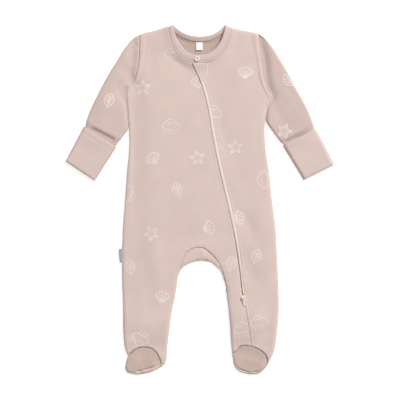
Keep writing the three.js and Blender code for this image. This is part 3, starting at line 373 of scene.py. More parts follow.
rows_in_front = [*range(NECK_BACK_END - 1, len(NECKBAND["seam_x"]) - 1), *range(NECK_FRONT_END + 1)]
neck_points = np.column_stack([NECKBAND["seam_x"], NECKBAND["seam_level"]])
for fold in (NECK_FRONT_END, NECK_BACK_END - 1):
    neck_points[fold, 0] += np.sign(neck_points[fold, 0]) * RIB * NECK_FOLD_OUT
neck_line = soft_line(neck_points[rows_in_front])
back_neck_line = soft_line(neck_points[NECK_FRONT_END:NECK_BACK_END])
neck_front = np.vstack([[ABOVE[1]], neck_line, [ABOVE[0]]])
neck_back = np.vstack([[ABOVE[0]], back_neck_line, [ABOVE[1]]])
crotch_seam = soft_line(CROTCH_ARC)
crotch_cut = np.vstack([[(CROTCH_ARC[0][0], BELOW_GUSSET)], crotch_seam, [(CROTCH_ARC[-1][0], BELOW_GUSSET)]])
zip_levels = np.arange(ZIP_LINE["level"][0], ZIP_LINE["level"][-1], -OUTLINE_STEP)


def zip_x(level):
    return at(ZIP_LINE, "x", level)


def tape_width(level):
    return np.where(level >= ZIP_END_LEVEL, at(TAPE_SHOWN, "width", level), SEAM_GAP)


zip_right = np.column_stack([zip_x(zip_levels), zip_levels])
zip_left = np.column_stack([zip_x(zip_levels) + tape_width(zip_levels), zip_levels])
ankle = {name: soft_line(foot["ankle"]) for name, foot in FEET.items()}
ankle_cut = {name: np.vstack([ankle[name], [foot["strip_end"]]]) for name, foot in FEET.items()}
toes = {name: soft_line(np.vstack([foot["ankle"][-1:], foot["toes"]])) for name, foot in FEET.items()}


def foot_part(line):
    return line[line[:, 1] < FOOT_LEVEL]


foot_outline = {
    "right": np.vstack([foot_part(side_right), foot_part(inseam_right)]),
    "left": np.vstack([foot_part(inseam_left), foot_part(side_left)[::-1]]),
}
sewn = [
    side_right[side_right[:, 1] >= SHOULDER_TIP],
    np.vstack([
        edge(SIDES, "left", RIGHT_ARMPIT, TOE), inseam_right, inseam_left,
        edge(SIDES, "right", TOE, LEFT_ARMPIT),
    ]),
    side_left[side_left[:, 1] >= SHOULDER_TIP][::-1],
]
armhole = {name: edge(SIDES, COLUMN[name], SHOULDER_TIP, ARMPITS[name]) for name in COLUMN}

# Relief beside the seams. Ditches: distance from the seam, depth and width. Gathers: height, wave and reach
NECK_STITCH = 4.1
ZIP_STITCH = 5
VAMP_STITCH = 6
SEAMS = {
    "neck": {"ditches": [(0, 0.25, 0.8), (NECK_STITCH, 0.3, 0.8)], "gathers": (0.1, 9, 8)},
    "armhole": {"ditches": [(0, 0.6, 1.3)], "gathers": (0.12, 11, 7)},
    "crotch": {"ditches": [(0, 0.5, 1.1), (3, 0.2, 0.7)], "gathers": (0.16, 11, 9)},
    "gusset": {"ditches": [(0, 1.15, 2.2)], "gathers": (0.2, 10, 6)},
    "ankle": {"ditches": [(0, 0.5, 0.8)], "gathers": (0.25, 12, 6)},
    "zip_right": {"ditches": [(ZIP_STITCH, 0.2, 0.8)], "gathers": (0.12, 12, 9)},
    "zip_left": {"ditches": [(ZIP_STITCH, 0.25, 0.8)], "gathers": (0.12, 12, 9)},
    "vamp": {"ditches": [(VAMP_STITCH, 0.25, 0.9)], "gathers": (0.15, 12, 7)},
    "sleeve": {"ditches": [(0, 1.0, 1.3)], "gathers": (0.2, 12, 8)},
    "guard": {"ditches": [(0, 0.5, 0.8), (2.6, 0.35, 0.7)]},
}
TOE_GATHERS = {"vamp": (0.2, 10, 7), "sole": (0.4, 13, 9, 7)}
TOE_DITCH = {"depth": 0.35, "vamp": 1.3, "sole": 1.5}  # its depth, and its width on each side
TOE_GAPS = {"right": ((-99, 4), (-83.3, 6.5)), "left": ((71.8, 6), (94, 4))}  # place along X and reach
TOE_GAP_DEPTH = 2.2
ARMHOLE_RIDGE = {"height": 1.1, "top_width": 8.5, "low_width": 2.5, "rise": 1.8, "fall": 2.4}
BESIDE_RIDGE = {"away": 1.6, "depth": 0.35, "width": 1.2}
NEAR_BAND = (1.9, 7.5)  # height and width of the rise towards the neckband
ANKLE_RIM = (0.2, 4.5)
# The edges beside the zip: its ditch, and how that grows below and at the open top
ZIP_DITCH = {"depth": 0.5, "width": 0.9}
ZIP_SINK = {"from": 250, "reach": 60, "depth": 2.3, "width": 1.5}
ZIP_OPEN_TOP = {"from": 474, "reach": 12, "depth": 0.3, "width": 0.3}
ZIP_CLOSED = (0.8, 0.9)
ZIP_HEM = {"height": 0.8, "width": 6, "fade": 20, "ditch": (0.3, 0.8)}
# How deep the ankle seam sinks, by share of its length
ANKLE_SINK = {
    "right": table("share depth", (0, 3.8), (0.2, 4.0), (0.35, 2.4), (0.65, 1.4), (0.85, 1.9), (1, 2.4)),
    "left": table("share depth", (0, 1.4), (0.2, 2.4), (0.5, 1.2), (0.75, 1.8), (1, 2.6)),
}
ANKLE_SINK_WIDTH = 3.4
LOWEST_SEAM = 3.0  # below this an upper layer would reach through the one under it
BACK_LIFT = {"from": 4, "reach": 8}
UNEVENNESS = ((0.14, 34, 3), (0.05, 15, 4), (0.02, 7, 5))  # height, size and seed
LATTICE = 128


# Heights
def fold_height(rows, x, y):
    """Sum of the folds of a table: each is a ridge or hollow that fades along and across its line."""
    total = np.zeros(len(x))
    for fx, fy, angle, length, width, lift in zip(*rows.values()):
        turn = math.radians(angle)
        along = (x - fx) * math.cos(turn) + (y - fy) * math.sin(turn)
        across = -(x - fx) * math.sin(turn) + (y - fy) * math.cos(turn)
        total += lift * np.exp(-4 * (along / length) ** 2 - (across / width) ** 2)
    return total


def ripple(x, y, size, seed):
    """Soft unevenness from -1 to 1, with features of about the given size."""
    lattice = np.random.default_rng(seed).random((LATTICE, LATTICE)) * 2 - 1
    u, v = (x / size) % (LATTICE - 1), (y / size) % (LATTICE - 1)
    i, j = u.astype(int), v.astype(int)
    s, t = smooth(u - i), smooth(v - j)
    after_i, after_j = (i + 1) % LATTICE, (j + 1) % LATTICE
    low = lattice[i, j] * (1 - s) + lattice[after_i, j] * s
    high = lattice[i, after_j] * (1 - s) + lattice[after_i, after_j] * s
    return low * (1 - t) + high * t


def ridge(distance, height, width):
    return height * np.exp(-((distance / width) ** 2))


def groove(distance, depth, width):
    return -ridge(distance, depth, width)


def pucker(distance, along, height, wave, reach, seed=1):
    """Small gathers beside a seam, uneven along it."""
    phase = along / wave * 2 * math.pi + 2.2 * ripple(along, along * 0, wave * 3, seed)
    return np.sin(phase) * ridge(distance, height, reach)


def ditches(seam, distance):
    return sum(groove(distance - away, depth, width) for away, depth, width in SEAMS[seam]["ditches"])


def seam_relief(seam, distance, along):
    """Ditches and gathers beside a seam."""
    return ditches(seam, distance) + pucker(distance, along, *SEAMS[seam]["gathers"])


def softly(x, y):
    """The cloth's fine unevenness and broad, soft forms."""
    uneven = sum(height * ripple(x, y, size, seed) for height, size, seed in UNEVENNESS)
    return uneven + fold_height(SOFT_FORMS, x, y)


def body_top(x, y):
    """Height of the front without its edges and seams, puffed up over the ankles."""
    puff = smooth((ANKLE["from"] - y) / ANKLE["reach"]) * smooth((y - ANKLE["toe_from"]) / ANKLE["toe_reach"])
    return BODY_HEIGHT + fold_height(FOLDS, x, y) + (ANKLE["height"] - BODY_HEIGHT) * puff


def rolled(distance, top, seam, roll):
    """Height of cloth that rolls down to a seam over the given width."""
    angle = np.arccos(np.maximum(1 - distance / roll, 0))
    return seam + (top - seam) * np.sin(angle)


def curled(distance, radius):
    """How far cloth that lies on the table curls up near an edge, from 0 to 1."""
    return 1 - np.sin(np.arccos(np.maximum(1 - distance / radius, 0)))


def front_height(p):
    x, y = p.T
    z = rolled(nearest(sewn, p)[0], body_top(x, y) + softly(x, y), SEAM_HEIGHT, EDGE_ROLL)
    for side in armhole.values():
        d, s = nearest([side], p)
        share = s / lengths(side)[-1]
        width = ARMHOLE_RIDGE["top_width"] * (1 - share) + ARMHOLE_RIDGE["low_width"] * share
        flanks = smooth(d / ARMHOLE_RIDGE["rise"]) * (1 - smooth((d - width) / ARMHOLE_RIDGE["fall"]))
        z += ARMHOLE_RIDGE["height"] * flanks + seam_relief("armhole", d, s)
        z += groove(d - width - BESIDE_RIDGE["away"], BESIDE_RIDGE["depth"], BESIDE_RIDGE["width"])
    d, s = nearest([neck_line], p)
    z += ridge(d, *NEAR_BAND) + seam_relief("neck", d, s)
    z += seam_relief("crotch", *nearest([crotch_seam], p))
    d, s = nearest(list(ankle.values()), p)
    return z + ridge(d, *ANKLE_RIM) + seam_relief("ankle", d, s)


def front_right_height(p):
    d, s = nearest([zip_right], p)
    y = p[:, 1]
    deeper = smooth((ZIP_SINK["from"] - y) / ZIP_SINK["reach"])
    open_top = smooth((y - ZIP_OPEN_TOP["from"]) / ZIP_OPEN_TOP["reach"])
    depth, width = (
        ZIP_DITCH[part] + ZIP_SINK[part] * deeper + ZIP_OPEN_TOP[part] * open_top
        for part in ("depth", "width")
    )
    ditch = np.where(y < ZIP_END_LEVEL, groove(d, *ZIP_CLOSED), groove(d, depth, width))
    return front_height(p) + ditch + seam_relief("zip_right", d, s)


def front_left_height(p):
    d, s = nearest([zip_left], p)
    y = p[:, 1]
    hem = ridge(d, ZIP_HEM["height"], ZIP_HEM["width"]) * smooth((y - ZIP_END_LEVEL) / ZIP_HEM["fade"])
    ditch = np.where(y < ZIP_END_LEVEL, groove(d, *ZIP_CLOSED), groove(d, *ZIP_HEM["ditch"]))
    return front_height(p) + hem + ditch + seam_relief("zip_left", d, s)


def gusset_height(p):
    x, y = p.T
    fold = ridge(x - GUSSET["fold_x"], 1, GUSSET["fold_width"])
    reach = smooth((GUSSET["fold_from"] - y) / GUSSET["fold_reach"])
    top = BODY_HEIGHT - GUSSET["drop"] * (1 - fold * reach)
    z = rolled(nearest(sewn, p)[0], top, SEAM_HEIGHT, EDGE_ROLL)
    return z + seam_relief("gusset", *nearest([crotch_seam], p))


def foot_height(name, p):
    x, y = p.T
    line = FEET[name]["ankle"][np.argsort(FEET[name]["ankle"][:, 0])]
    below = np.maximum(np.interp(x, line[:, 0], line[:, 1]) - y, 0)
    swell = ridge(below, VAMP["swell"], VAMP["drop_reach"])
    return VAMP["height"] + swell + VAMP["toe_rise"] * smooth((below - VAMP["toe_from"]) / VAMP["toe_reach"])


def toe_relief(name, piece, p):
    """Ditch and gathers along the toe seam, deeper where it gapes."""
    d, s = nearest([toes[name]], p)
    gap = sum(ridge(p[:, 0] - place, TOE_GAP_DEPTH, reach) for place, reach in TOE_GAPS[name])
    return groove(d, TOE_DITCH["depth"] + gap, TOE_DITCH[piece]) + pucker(d, s, *TOE_GATHERS[piece])


def vamp_height(name):
    def height(p):
        z = rolled(nearest(sewn, p)[0], foot_height(name, p) + softly(*p.T), SEAM_HEIGHT, EDGE_ROLL)
        d, s = nearest([ankle[name]], p)
        depth = at(ANKLE_SINK[name], "depth", s / lengths(ankle[name])[-1], by="share")
        z += groove(d, depth, ANKLE_SINK_WIDTH) + seam_relief("vamp", d, s) + toe_relief(name, "vamp", p)
        return np.maximum(z, LOWEST_SEAM)

    return height


def strip_height(name):
    """Height of the sole where it curls up in front of the toes."""
    def height(p):
        z = rolled(nearest(sewn, p)[0], foot_height(name, p), BACK_SEAM, EDGE_ROLL)
        return np.maximum(z + np.clip((z - BACK_SEAM) / 2, 0, 1) * toe_relief(name, "sole", p), LOWEST_SEAM)

    return height


def sole_height(p):
    return BACK_SEAM * curled(nearest(sewn, p)[0], BACK_SEAM)


def back_height(p):
    d = nearest(sewn, p)[0]
    lifted = fold_height(BACK_FOLDS, *p.T) * smooth((d - BACK_LIFT["from"]) / BACK_LIFT["reach"])
    return BACK_SEAM * curled(d, BACK_SEAM) + lifted


# Meshes
ROW_SHARE = 0.93  # a row's point this close to its distance from the outline is kept
ROW_SPACING = 0.45
ROUNDING = 2  # decimals to which two points count as one
GRID_ROW = 0.866  # a row of a triangular grid, in steps
GRID_MARGIN = 0.55  # the grid's distance from the last row along the edge, in steps


def fill(outline, step=GRID, rows=EDGE_ROWS):
    """Points and triangles that fill an outline, closer together along its edge."""
    area = (outline[:, 0] * np.roll(outline[:, 1], -1) - outline[:, 1] * np.roll(outline[:, 0], -1)).sum()
    outline = outline if area > 0 else outline[::-1]
    edge_line = [looped(outline)]
    inner = np.vstack([outline + sideways(outline, closed=True) * row for row in rows])
    wanted = np.repeat(rows, len(outline))
    inner = inner[(nearest(edge_line, inner)[0] > wanted * ROW_SHARE) & inside(inner, outline)]
    low, high = outline.min(0), outline.max(0)
    gx, gy = np.meshgrid(np.arange(low[0], high[0], step), np.arange(low[1], high[1], step * GRID_ROW))
    gx[1::2] += step / 2
    grid = np.column_stack([gx.ravel(), gy.ravel()])
    grid = grid[inside(grid, outline)]
    grid = grid[nearest(edge_line, grid)[0] > rows[-1] + step * GRID_MARGIN]
    _, first = np.unique(np.round(inner / ROW_SPACING), axis=0, return_index=True)
    points = np.vstack([outline, inner[np.sort(first)], grid])
    made = delaunay_2d_cdt([Vector(p) for p in points], [], [list(range(len(outline)))], 1, 1e-5)
    return np.array([tuple(p) for p in made[0]]), np.array(made[2])


def skin(outline, height, up=True, step=GRID, rows=EDGE_ROWS):
    """A surface over an outline, facing up or down."""
    points, triangles = fill(outline, step, rows)
    a, b, c = (points[triangles[:, i]] for i in range(3))
    turn = (b[:, 0] - a[:, 0]) * (c[:, 1] - a[:, 1]) - (b[:, 1] - a[:, 1]) * (c[:, 0] - a[:, 0])
    triangles = np.where((turn > 0)[:, None] == up, triangles, triangles[:, ::-1])
    return np.column_stack([points, height(points)]), triangles


def joined(*skins):
    """Several surfaces as one, with the points they share merged."""
    points = np.vstack([p for p, _ in skins])
    starts = np.cumsum([0] + [len(p) for p, _ in skins])
    triangles = np.vstack([t + start for (_, t), start in zip(skins, starts)])
    _, first, back = np.unique(np.round(points, ROUNDING), axis=0, return_index=True, return_inverse=True)
    return points[first], back.ravel()[triangles]


def normals(points, triangles):
    a, b, c = (points[triangles[:, i]] for i in range(3))
    face = np.cross(b - a, c - a)
    total = np.zeros_like(points)
    for i in range(3):
        np.add.at(total, triangles[:, i], face)
    return total / np.maximum(np.linalg.norm(total, axis=1), 1e-12)[:, None]


def quads(rows, count, start=0, around=True):
    """Faces between rows of points that follow each other, closed round or open."""
    faces = []
    for j in range(rows - 1):
        for i in range(count if around else count - 1):
            a, b = start + j * count + i, start + j * count + (i + 1) % count
            faces.append((a, b, b + count, a + count))
    return faces


def tube_faces(rows, count):
    """The same with both ends closed."""
    last = (rows - 1) * count
    return [*quads(rows, count), tuple(range(count))[::-1], tuple(range(last, last + count))]


def turned(degrees):
    """The matrix that turns points about the origin."""
    angle = math.radians(degrees)
    return np.array([(math.cos(angle), -math.sin(angle)), (math.sin(angle), math.cos(angle))])


def mesh_object(name, points, faces, material, uv=None, sharp=55, node=None):
    """An object that rides on the garment, from points in millimetres as drawn."""
    mesh = bpy.data.meshes.new(name)
    mesh.from_pydata(((np.asarray(points) + SHIFT) * MM).tolist(), [], [list(map(int, f)) for f in faces])
    mesh.update()
    mesh.shade_smooth()
    mesh.set_sharp_from_angle(angle=math.radians(sharp))
    if uv is not None:
        corner = np.zeros(len(mesh.loops), np.int32)
        mesh.loops.foreach_get("vertex_index", corner)
        mesh.uv_layers.new(name="grain").data.foreach_set("uv", (np.asarray(uv)[corner] * MM).ravel())
    mesh.materials.append(material)
    obj = bpy.data.objects.new(name, mesh)
    bpy.context.scene.collection.objects.link(obj)
    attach(obj, "garment")
    if node:
        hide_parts(node)
    return obj


surfaces = {}


def shell(name, surface, material, node, thick=CLOTH, grain=0.0, shaded_lining=None, relief=None):
    """Cloth below a surface, closed along its edges; relief adds height to its inner side."""
    points, triangles = surface
    used, triangles = np.unique(triangles, return_inverse=True)
    points, triangles = points[used], triangles.reshape(-1, 3)
    triangles = triangles[(triangles != np.roll(triangles, 1, 1)).all(1)]
    depth = thick + (relief(points[:, :2]) if relief else np.zeros(len(points)))
    below = points - normals(points, triangles) * depth[:, None]
    count = len(points)
    known = {tuple(pair) for ends in ([0, 1], [1, 2], [2, 0]) for pair in triangles[:, ends].tolist()}
    rim = [(b, a, a + count, b + count) for a, b in known if (b, a) not in known]
    faces = [*triangles.tolist(), *(triangles[:, ::-1] + count).tolist(), *rim]
    uv = points[:, :2] @ turned(grain)
    obj = mesh_object(name, np.vstack([points, below]), faces, material, np.vstack([uv, uv]), node=node)
    # The inner faces take the second material, which is painted darker as shade
    if shaded_lining:
        obj.data.materials.append(shaded_lining)
        for face in obj.data.polygons[len(triangles) : 2 * len(triangles)]:
            face.material_index = 1
    surfaces[name] = BVHTree.FromPolygons(points.tolist(), triangles.tolist())


def landing(name, x, y, up=True):
    """Where a line from far above a surface, or from far below it, meets it."""
    way = -1 if up else 1
    return surfaces[name].ray_cast(Vector((x, y, -way * FAR)), Vector((0, 0, way)))[0]


# Materials
NOISE_RANGE = (0.3, 0.7)  # the values that a noise mostly lies between


def material(name, color, roughness=0.9, sheen=0.0, glow=0.0):
    """A plain material; glow is how much light passes into it and out again."""
    made = bpy.data.materials.new(name)
    made.use_nodes = True
    inputs = made.node_tree.nodes["Principled BSDF"].inputs
    inputs["Base Color"].default_value = (*color, 1)
    inputs["Roughness"].default_value = roughness
    inputs["Sheen Weight"].default_value = sheen
    inputs["Sheen Roughness"].default_value = 0.6
    inputs["Sheen Tint"].default_value = (1.0, 0.93, 0.9, 1)
    inputs["Subsurface Weight"].default_value = glow
    inputs["Subsurface Radius"].default_value = (1.0, 0.5, 0.38)
    inputs["Subsurface Scale"].default_value = 2.5 * MM
    return made


def add_node(made, kind, links=(), **values):
    """A shader node with its inputs set and linked: links pairs an input's name with an output."""
    node = made.node_tree.nodes.new(kind)
    for key, value in values.items():
        if key in node.inputs:
            node.inputs[key].default_value = value
        else:
            setattr(node, key, value)
    for key, output in dict(links).items():
        made.node_tree.links.new(output, node.inputs[key])
    return node


def noise(made, scale, detail=3.0, **values):
    place = add_node(made, "ShaderNodeTexCoord").outputs["Object"]
    node = add_node(made, "ShaderNodeTexNoise", {"Vector": place}, Scale=scale, Detail=detail, **values)
    return node.outputs["Fac"]


def bump(made, height, distance, strength=1.0, below=()):
    links = {"Height": height, **dict(below)}
    node = add_node(made, "ShaderNodeBump", links, Strength=strength, Distance=distance * MM)
    return node.outputs["Normal"]


def link_shader(made, socket, output):
    made.node_tree.links.new(output, made.node_tree.nodes["Principled BSDF"].inputs[socket])


def spread(made, source, low, high):
    """A noise brought to the range from low to high."""
    node = add_node(made, "ShaderNodeMapRange", {"Value": source})
    for socket, value in zip(("From Min", "From Max", "To Min", "To Max"), (*NOISE_RANGE, low, high)):
        node.inputs[socket].default_value = value
    return node.outputs["Result"]


def uneven_color(made, color, share):
    tint = add_node(made, "ShaderNodeVectorMath", {"Scale": share}, operation="SCALE")
    tint.inputs[0].default_value = color
    link_shader(made, "Base Color", tint.outputs["Vector"])


def textile(name, color, course=0.7, wale=0.9, depth=0.05, mottle=0.03, nap=0.12):
    """Knitted or woven cloth: rows across and along the grain, a light nap and uneven colour."""
    made = material(name, color, 0.92, sheen=0.1, glow=0.08)
    grain = add_node(made, "ShaderNodeUVMap", uv_map="grain").outputs["UV"]
    wales, courses = (
        add_node(made, "ShaderNodeTexWave", {"Vector": grain}, bands_direction=axis,
                 Scale=math.pi / 10 / (spacing * MM), Distortion=distortion, Detail=1.0).outputs["Fac"]
        for axis, spacing, distortion in (("X", wale, 0.8), ("Y", course, 1.2))
    )
    rows = add_node(made, "ShaderNodeMix", {"A": wales, "B": courses}, Factor=0.45)
    knit = bump(made, rows.outputs["Result"], depth)
    fibre = bump(made, noise(made, 420.0, 4.0, Roughness=0.65), nap, below={"Normal": knit})
    link_shader(made, "Normal", fibre)
    uneven_color(made, color, spread(made, noise(made, 38.0), 1 - mottle, 1 + mottle * 0.5))
    return made


def coated(name, color, roughness, grain):
    """Painted metal or smooth thread: a fine grain, and a colour and gloss that vary a little."""
    made = material(name, color, roughness)
    worn = noise(made, 320.0)
    link_shader(made, "Roughness", spread(made, worn, roughness * 0.8, roughness * 1.25))
    uneven_color(made, color, spread(made, worn, 0.9, 1.06))
    link_shader(made, "Normal", bump(made, noise(made, 1500.0), grain, 0.8))
    return made


cloth = textile("sweat_cloth", (0.60, 0.478, 0.438))
# The sleeves' cloth is the body's sweat cloth painted darker: painted shade for the light the sleeves catch
# less of
sleeve_cloth_shaded = textile("sweat_cloth_sleeve_painted_shade", (0.555, 0.437, 0.399))
# The vamps' cloth is the same sweat cloth painted darker: painted shade for the vamps sloping away from the
# light
foot_cloth_shaded = textile("sweat_cloth_foot_painted_shade", (0.49, 0.38, 0.337), mottle=0.08, nap=0.2)
# The inside of the cloth is a brushed knit, painted darker as the shade inside the garment seen through the
# neck
shaded_inner_side = textile("brushed_inside_painted_shade", (0.465, 0.355, 0.31), course=0.9, depth=0.04, mottle=0.1, nap=0.2)
rib = textile("rib", (0.60, 0.475, 0.435), wale=1.5, depth=0.16)
print_ink = textile("print", (0.75, 0.65, 0.60), mottle=0.12)
tape = textile("zip_tape", (0.74, 0.63, 0.57), course=0.8, wale=0.8, depth=0.08, nap=0.02)
white_label = textile("neck_label", (0.86, 0.86, 0.88), 0.3, 0.3, depth=0.03, mottle=0.02, nap=0.02)
grey_label = textile("side_label", (0.33, 0.29, 0.37), 0.5, 0.5, depth=0.06, mottle=0.2, nap=0.02)
thread = coated("thread", (0.60, 0.46, 0.41), 0.6, 0.06)
enamel = coated("enamel", (0.70, 0.61, 0.54), 0.32, 0.015)
slider_enamel = coated("slider_enamel", (0.74, 0.62, 0.5), 0.38, 0.03)
# A dark colour for the snap's hollow middle: painted shade
painted_hole_shade = coated("snap_hole_painted_shade", (0.25, 0.19, 0.17), 0.8, 0.03)
floor_white = material("floor", (0.85, 0.85, 0.85))
floor_white.node_tree.nodes["Principled BSDF"].inputs["Emission Color"].default_value = (1, 1, 1, 1)
floor_white.node_tree.nodes["Principled BSDF"].inputs["Emission Strength"].default_value = 0.45

# Body
FINE_GRID = 1.8
BACK_GRID = 3.2
front_right_plan = ring(
    neck_front, side_right, ankle_cut["right"], inseam_right, crotch_cut, inseam_left,
    ankle_cut["left"], zip_right[::-1],
)
front_left_plan = ring(neck_front, zip_left, ankle_cut["left"], side_left[::-1])
gusset_plan = lens(crotch_cut, np.vstack([inseam_right, inseam_left[1:]]))
shell("cloth_front_right", skin(front_right_plan, front_right_height), cloth, "front_right",
      shaded_lining=shaded_inner_side)
shell("cloth_front_left", skin(front_left_plan, front_left_height), cloth, "front_left",
      shaded_lining=shaded_inner_side)
shell("cloth_gusset", skin(gusset_plan, gusset_height, step=FINE_GRID), cloth, "crotch_gusset", grain=90)


def level_line(level):
    return np.array([(-150.0, level), (0.0, level), (150.0, level)])


heel = level_line(HEEL_LEVEL + SEAM_GAP)
back_plan = np.vstack([
    part_of(side_right, crossings(side_right, neck_back)[-1][0], crossings(side_right, heel)[-1][0]),
    part_of(inseam_right, crossings(inseam_right, heel)[-1][0], len(inseam_right) - 1),
    part_of(inseam_left, 0, crossings(inseam_left, heel)[-1][0])[1:],
    part_of(side_left, crossings(side_left, heel)[-1][0], crossings(side_left, neck_back)[-1][0]),
    part_of(neck_back, crossings(neck_back, side_left)[-1][0], crossings(neck_back, side_right)[0][0])[1:-1],
])


BACK_NECK = {"ridge_at": 2.4, "ridge": (0.7, 1.1), "groove_at": 5.2, "groove": (0.35, 0.8)}


def back_neck_relief(p):
    """The seam inside the back neck: a ridge where its edge is sewn down, with a groove beyond it."""
    d = nearest([back_neck_line], p)[0]
    return ridge(d - BACK_NECK["ridge_at"], *BACK_NECK["ridge"]) + groove(
        d - BACK_NECK["groove_at"], *BACK_NECK["groove"])


shell("cloth_back", skin(back_plan, back_height, up=False, step=BACK_GRID), cloth, "back",
      shaded_lining=shaded_inner_side, relief=back_neck_relief)

# Feet
STRIP_GRID = {"step": 1.4, "rows": (0.35, 0.9, 1.5, 2.2)}
for name, outline in foot_outline.items():
    vamp_plan = lens(np.vstack([ankle[name], toes[name][1:]]), outline)
    vamp = skin(vamp_plan, vamp_height(name), step=FINE_GRID)
    shell(f"cloth_vamp_{name}", vamp, foot_cloth_shaded, f"vamp_{name}")
    strip_plan = lens(np.vstack([[FEET[name]["strip_end"]], toes[name]]), outline)
    under_plan = lens(level_line(HEEL_LEVEL)[::2], outline)
    strip = skin(strip_plan, strip_height(name), **STRIP_GRID)
    sole = joined(strip, skin(under_plan, sole_height, up=False))
    shell(f"cloth_sole_{name}", sole, cloth, f"sole_{name}")

# Sleeves, cuffs and mitt flaps
SLEEVE_GRAIN = {"right": -30, "left": 30}
SLEEVE_CUT_END = 330
SLEEVE_RISE = 0.6
SLEEVE_EDGE = {"height": 3.6, "roll": 4.4}
INTO_CUFF = (0.02, 0.07, 0.115)  # shares of the cuff's length at which the sleeve's edges run on inside it
CUFF_START = 0.12
CUFF_DIP = 11  # over this length the sleeve sinks to the cuff's height
# Shares of the mouth between which it stands open, and over which it opens and closes
MOUTH_GAPE = {"right": (0.12, 0.92, 0.16), "left": (0.1, 0.99, 0.62)}
MOUTH = {"closing": 0.12, "depth": 3.4, "from": 9, "reach": 8, "floor": 3.1}
ARMHOLE_VALLEY = {"right": (2.6, 8.5, 11.0), "left": (4.2, 8.5, 1.0)}  # depth, reach, distance from the seam
UNDERARM_GAP = 0.5
UNDERARM_NEAR = 4.5  # a sleeve drawn nearer to the body than this lies against it
UNDERARM_HOLLOW = {"depth": 3.2, "width": 4.2, "floor": 3.7}
ARMPIT_REACH = 2.0  # how far above the armpit the sleeve's under edge still follows the body
underarm = {"right": edge(SIDES, "left", RIGHT_ARMPIT, UNDERARM_END + 25),
            "left": edge(SIDES, "right", LEFT_ARMPIT, UNDERARM_END + 40)}
FLAP = {
    "lift": 1.5, "lift_reach": 32, "softness": 0.5, "roll": 4.2, "step": 2.0,
    "hem": 9.0, "hem_ditch": (0.5, 1.0), "mouth_ditch": (0.5, 0.8),
}
LIP_ANGLES = (0, 15, 30)


def corner(name, upper, share):
    """A point on the upper or lower edge of a cuff, by its share of the length from mouth to hem."""
    top, under, top_hem, under_hem = CUFFS[name]
    start, end = top + (top_hem - top) * share, under + (under_hem - under) * share
    inset = CUFF_INSET * (end - start) / np.linalg.norm(end - start)
    return start + inset if upper else end - inset


def sleeve_plan(name):
    """A sleeve's outline, and the two long edges that it is folded along."""
    rows, out = SLEEVES[name], OUTWARD[name]
    beside_body = at(SIDES, COLUMN[name], rows["under_level"]) + out * UNDERARM_GAP
    near = abs(rows["under_x"] - beside_body) < UNDERARM_NEAR
    near &= rows["under_level"] < ARMPITS[name] + ARMPIT_REACH
    under_x = np.where(near, beside_body, rows["under_x"])
    upper = soft_line([*zip(rows["top_x"], rows["top_level"]), *(corner(name, True, s) for s in INTO_CUFF)])
    under = soft_line([*zip(under_x, rows["under_level"]), *(corner(name, False, s) for s in INTO_CUFF)])
    cut = edge(SIDES, COLUMN[name], SHOULDER, SLEEVE_CUT_END) + np.array([out * 0.1, 0])
    top_start, under_start = crossings(upper, cut)[-1], crossings(under, cut)[0]  # places along both
    folded = [part_of(upper, top_start[0], len(upper) - 1), part_of(under, under_start[0], len(under) - 1)]
    at_armhole = part_of(cut, under_start[1], top_start[1])[1:-1]
    return np.vstack([folded[0], folded[1][::-1], at_armhole]), folded


def into_cuff(name, p):
    """How far points lie beyond the mitt's mouth, and where along it, as a share of its length."""
    mouth_top, mouth_low, hem_top = CUFFS[name][:3]
    to_hem, run = hem_top - mouth_top, mouth_low - mouth_top
    into = ((p - mouth_top) * to_hem).sum(1) / np.linalg.norm(to_hem)
    return into, ((p - mouth_top) * run).sum(1) / (run @ run)


def sleeve_dip(into):
    return (SLEEVE_HEIGHT - CUFF_HEIGHT) * smooth((into + CUFF_DIP) / CUFF_DIP)


def sleeve_top(name, folded):
    def height(p):
        into, share = into_cuff(name, p)
        dip = sleeve_dip(into)
        d = nearest(folded, p)[0]
        first, last, opening = MOUTH_GAPE[name]
        gape = smooth((share - first) / opening) * smooth((last - share) / MOUTH["closing"])
        trough = MOUTH["depth"] * gape * smooth((into + MOUTH["from"]) / MOUTH["reach"])
        top = SLEEVE_HEIGHT + SLEEVE_RISE + fold_height(FOLDS, *p.T) + softly(*p.T) - dip
        top = np.maximum(top - trough, np.minimum(top, MOUTH["floor"]))
        z = rolled(d, top, SLEEVE_EDGE["height"] - dip / 2, SLEEVE_EDGE["roll"])
        least = np.minimum(z, LOWEST_SEAM)
        seam, along = nearest([armhole[name]], p)
        depth, reach, away = ARMHOLE_VALLEY[name]
        z += (groove(seam - away, depth, reach) + seam_relief("sleeve", seam, along)) * smooth(d / 4)
        least = np.maximum(least, np.minimum(z, UNDERARM_HOLLOW["floor"] - dip / 2))
        beside = nearest([underarm[name]], p)[0]
        return np.maximum(z + groove(beside, UNDERARM_HOLLOW["depth"], UNDERARM_HOLLOW["width"]), least)

    return height


def sleeve_under(name, folded):
    def height(p):
        middle = SLEEVE_EDGE["height"] - sleeve_dip(into_cuff(name, p)[0]) / 2
        return middle * curled(nearest(folded, p)[0], SLEEVE_EDGE["height"])

    return height


def cuff_surface(corners):
    """Both halves of a cuff, folded along its two long sides."""
    sides, half = [corners[[0, 3]], corners[[1, 2]]], CUFF_HEIGHT / 2
    plan = np.vstack([side[:-1] for side in spaced_sides(corners)])
    return joined(
        skin(plan, lambda p: rolled(nearest(sides, p)[0], CUFF_HEIGHT, half, half), step=3),
        skin(plan, lambda p: half * curled(nearest(sides, p)[0], half), up=False, step=3),
    )


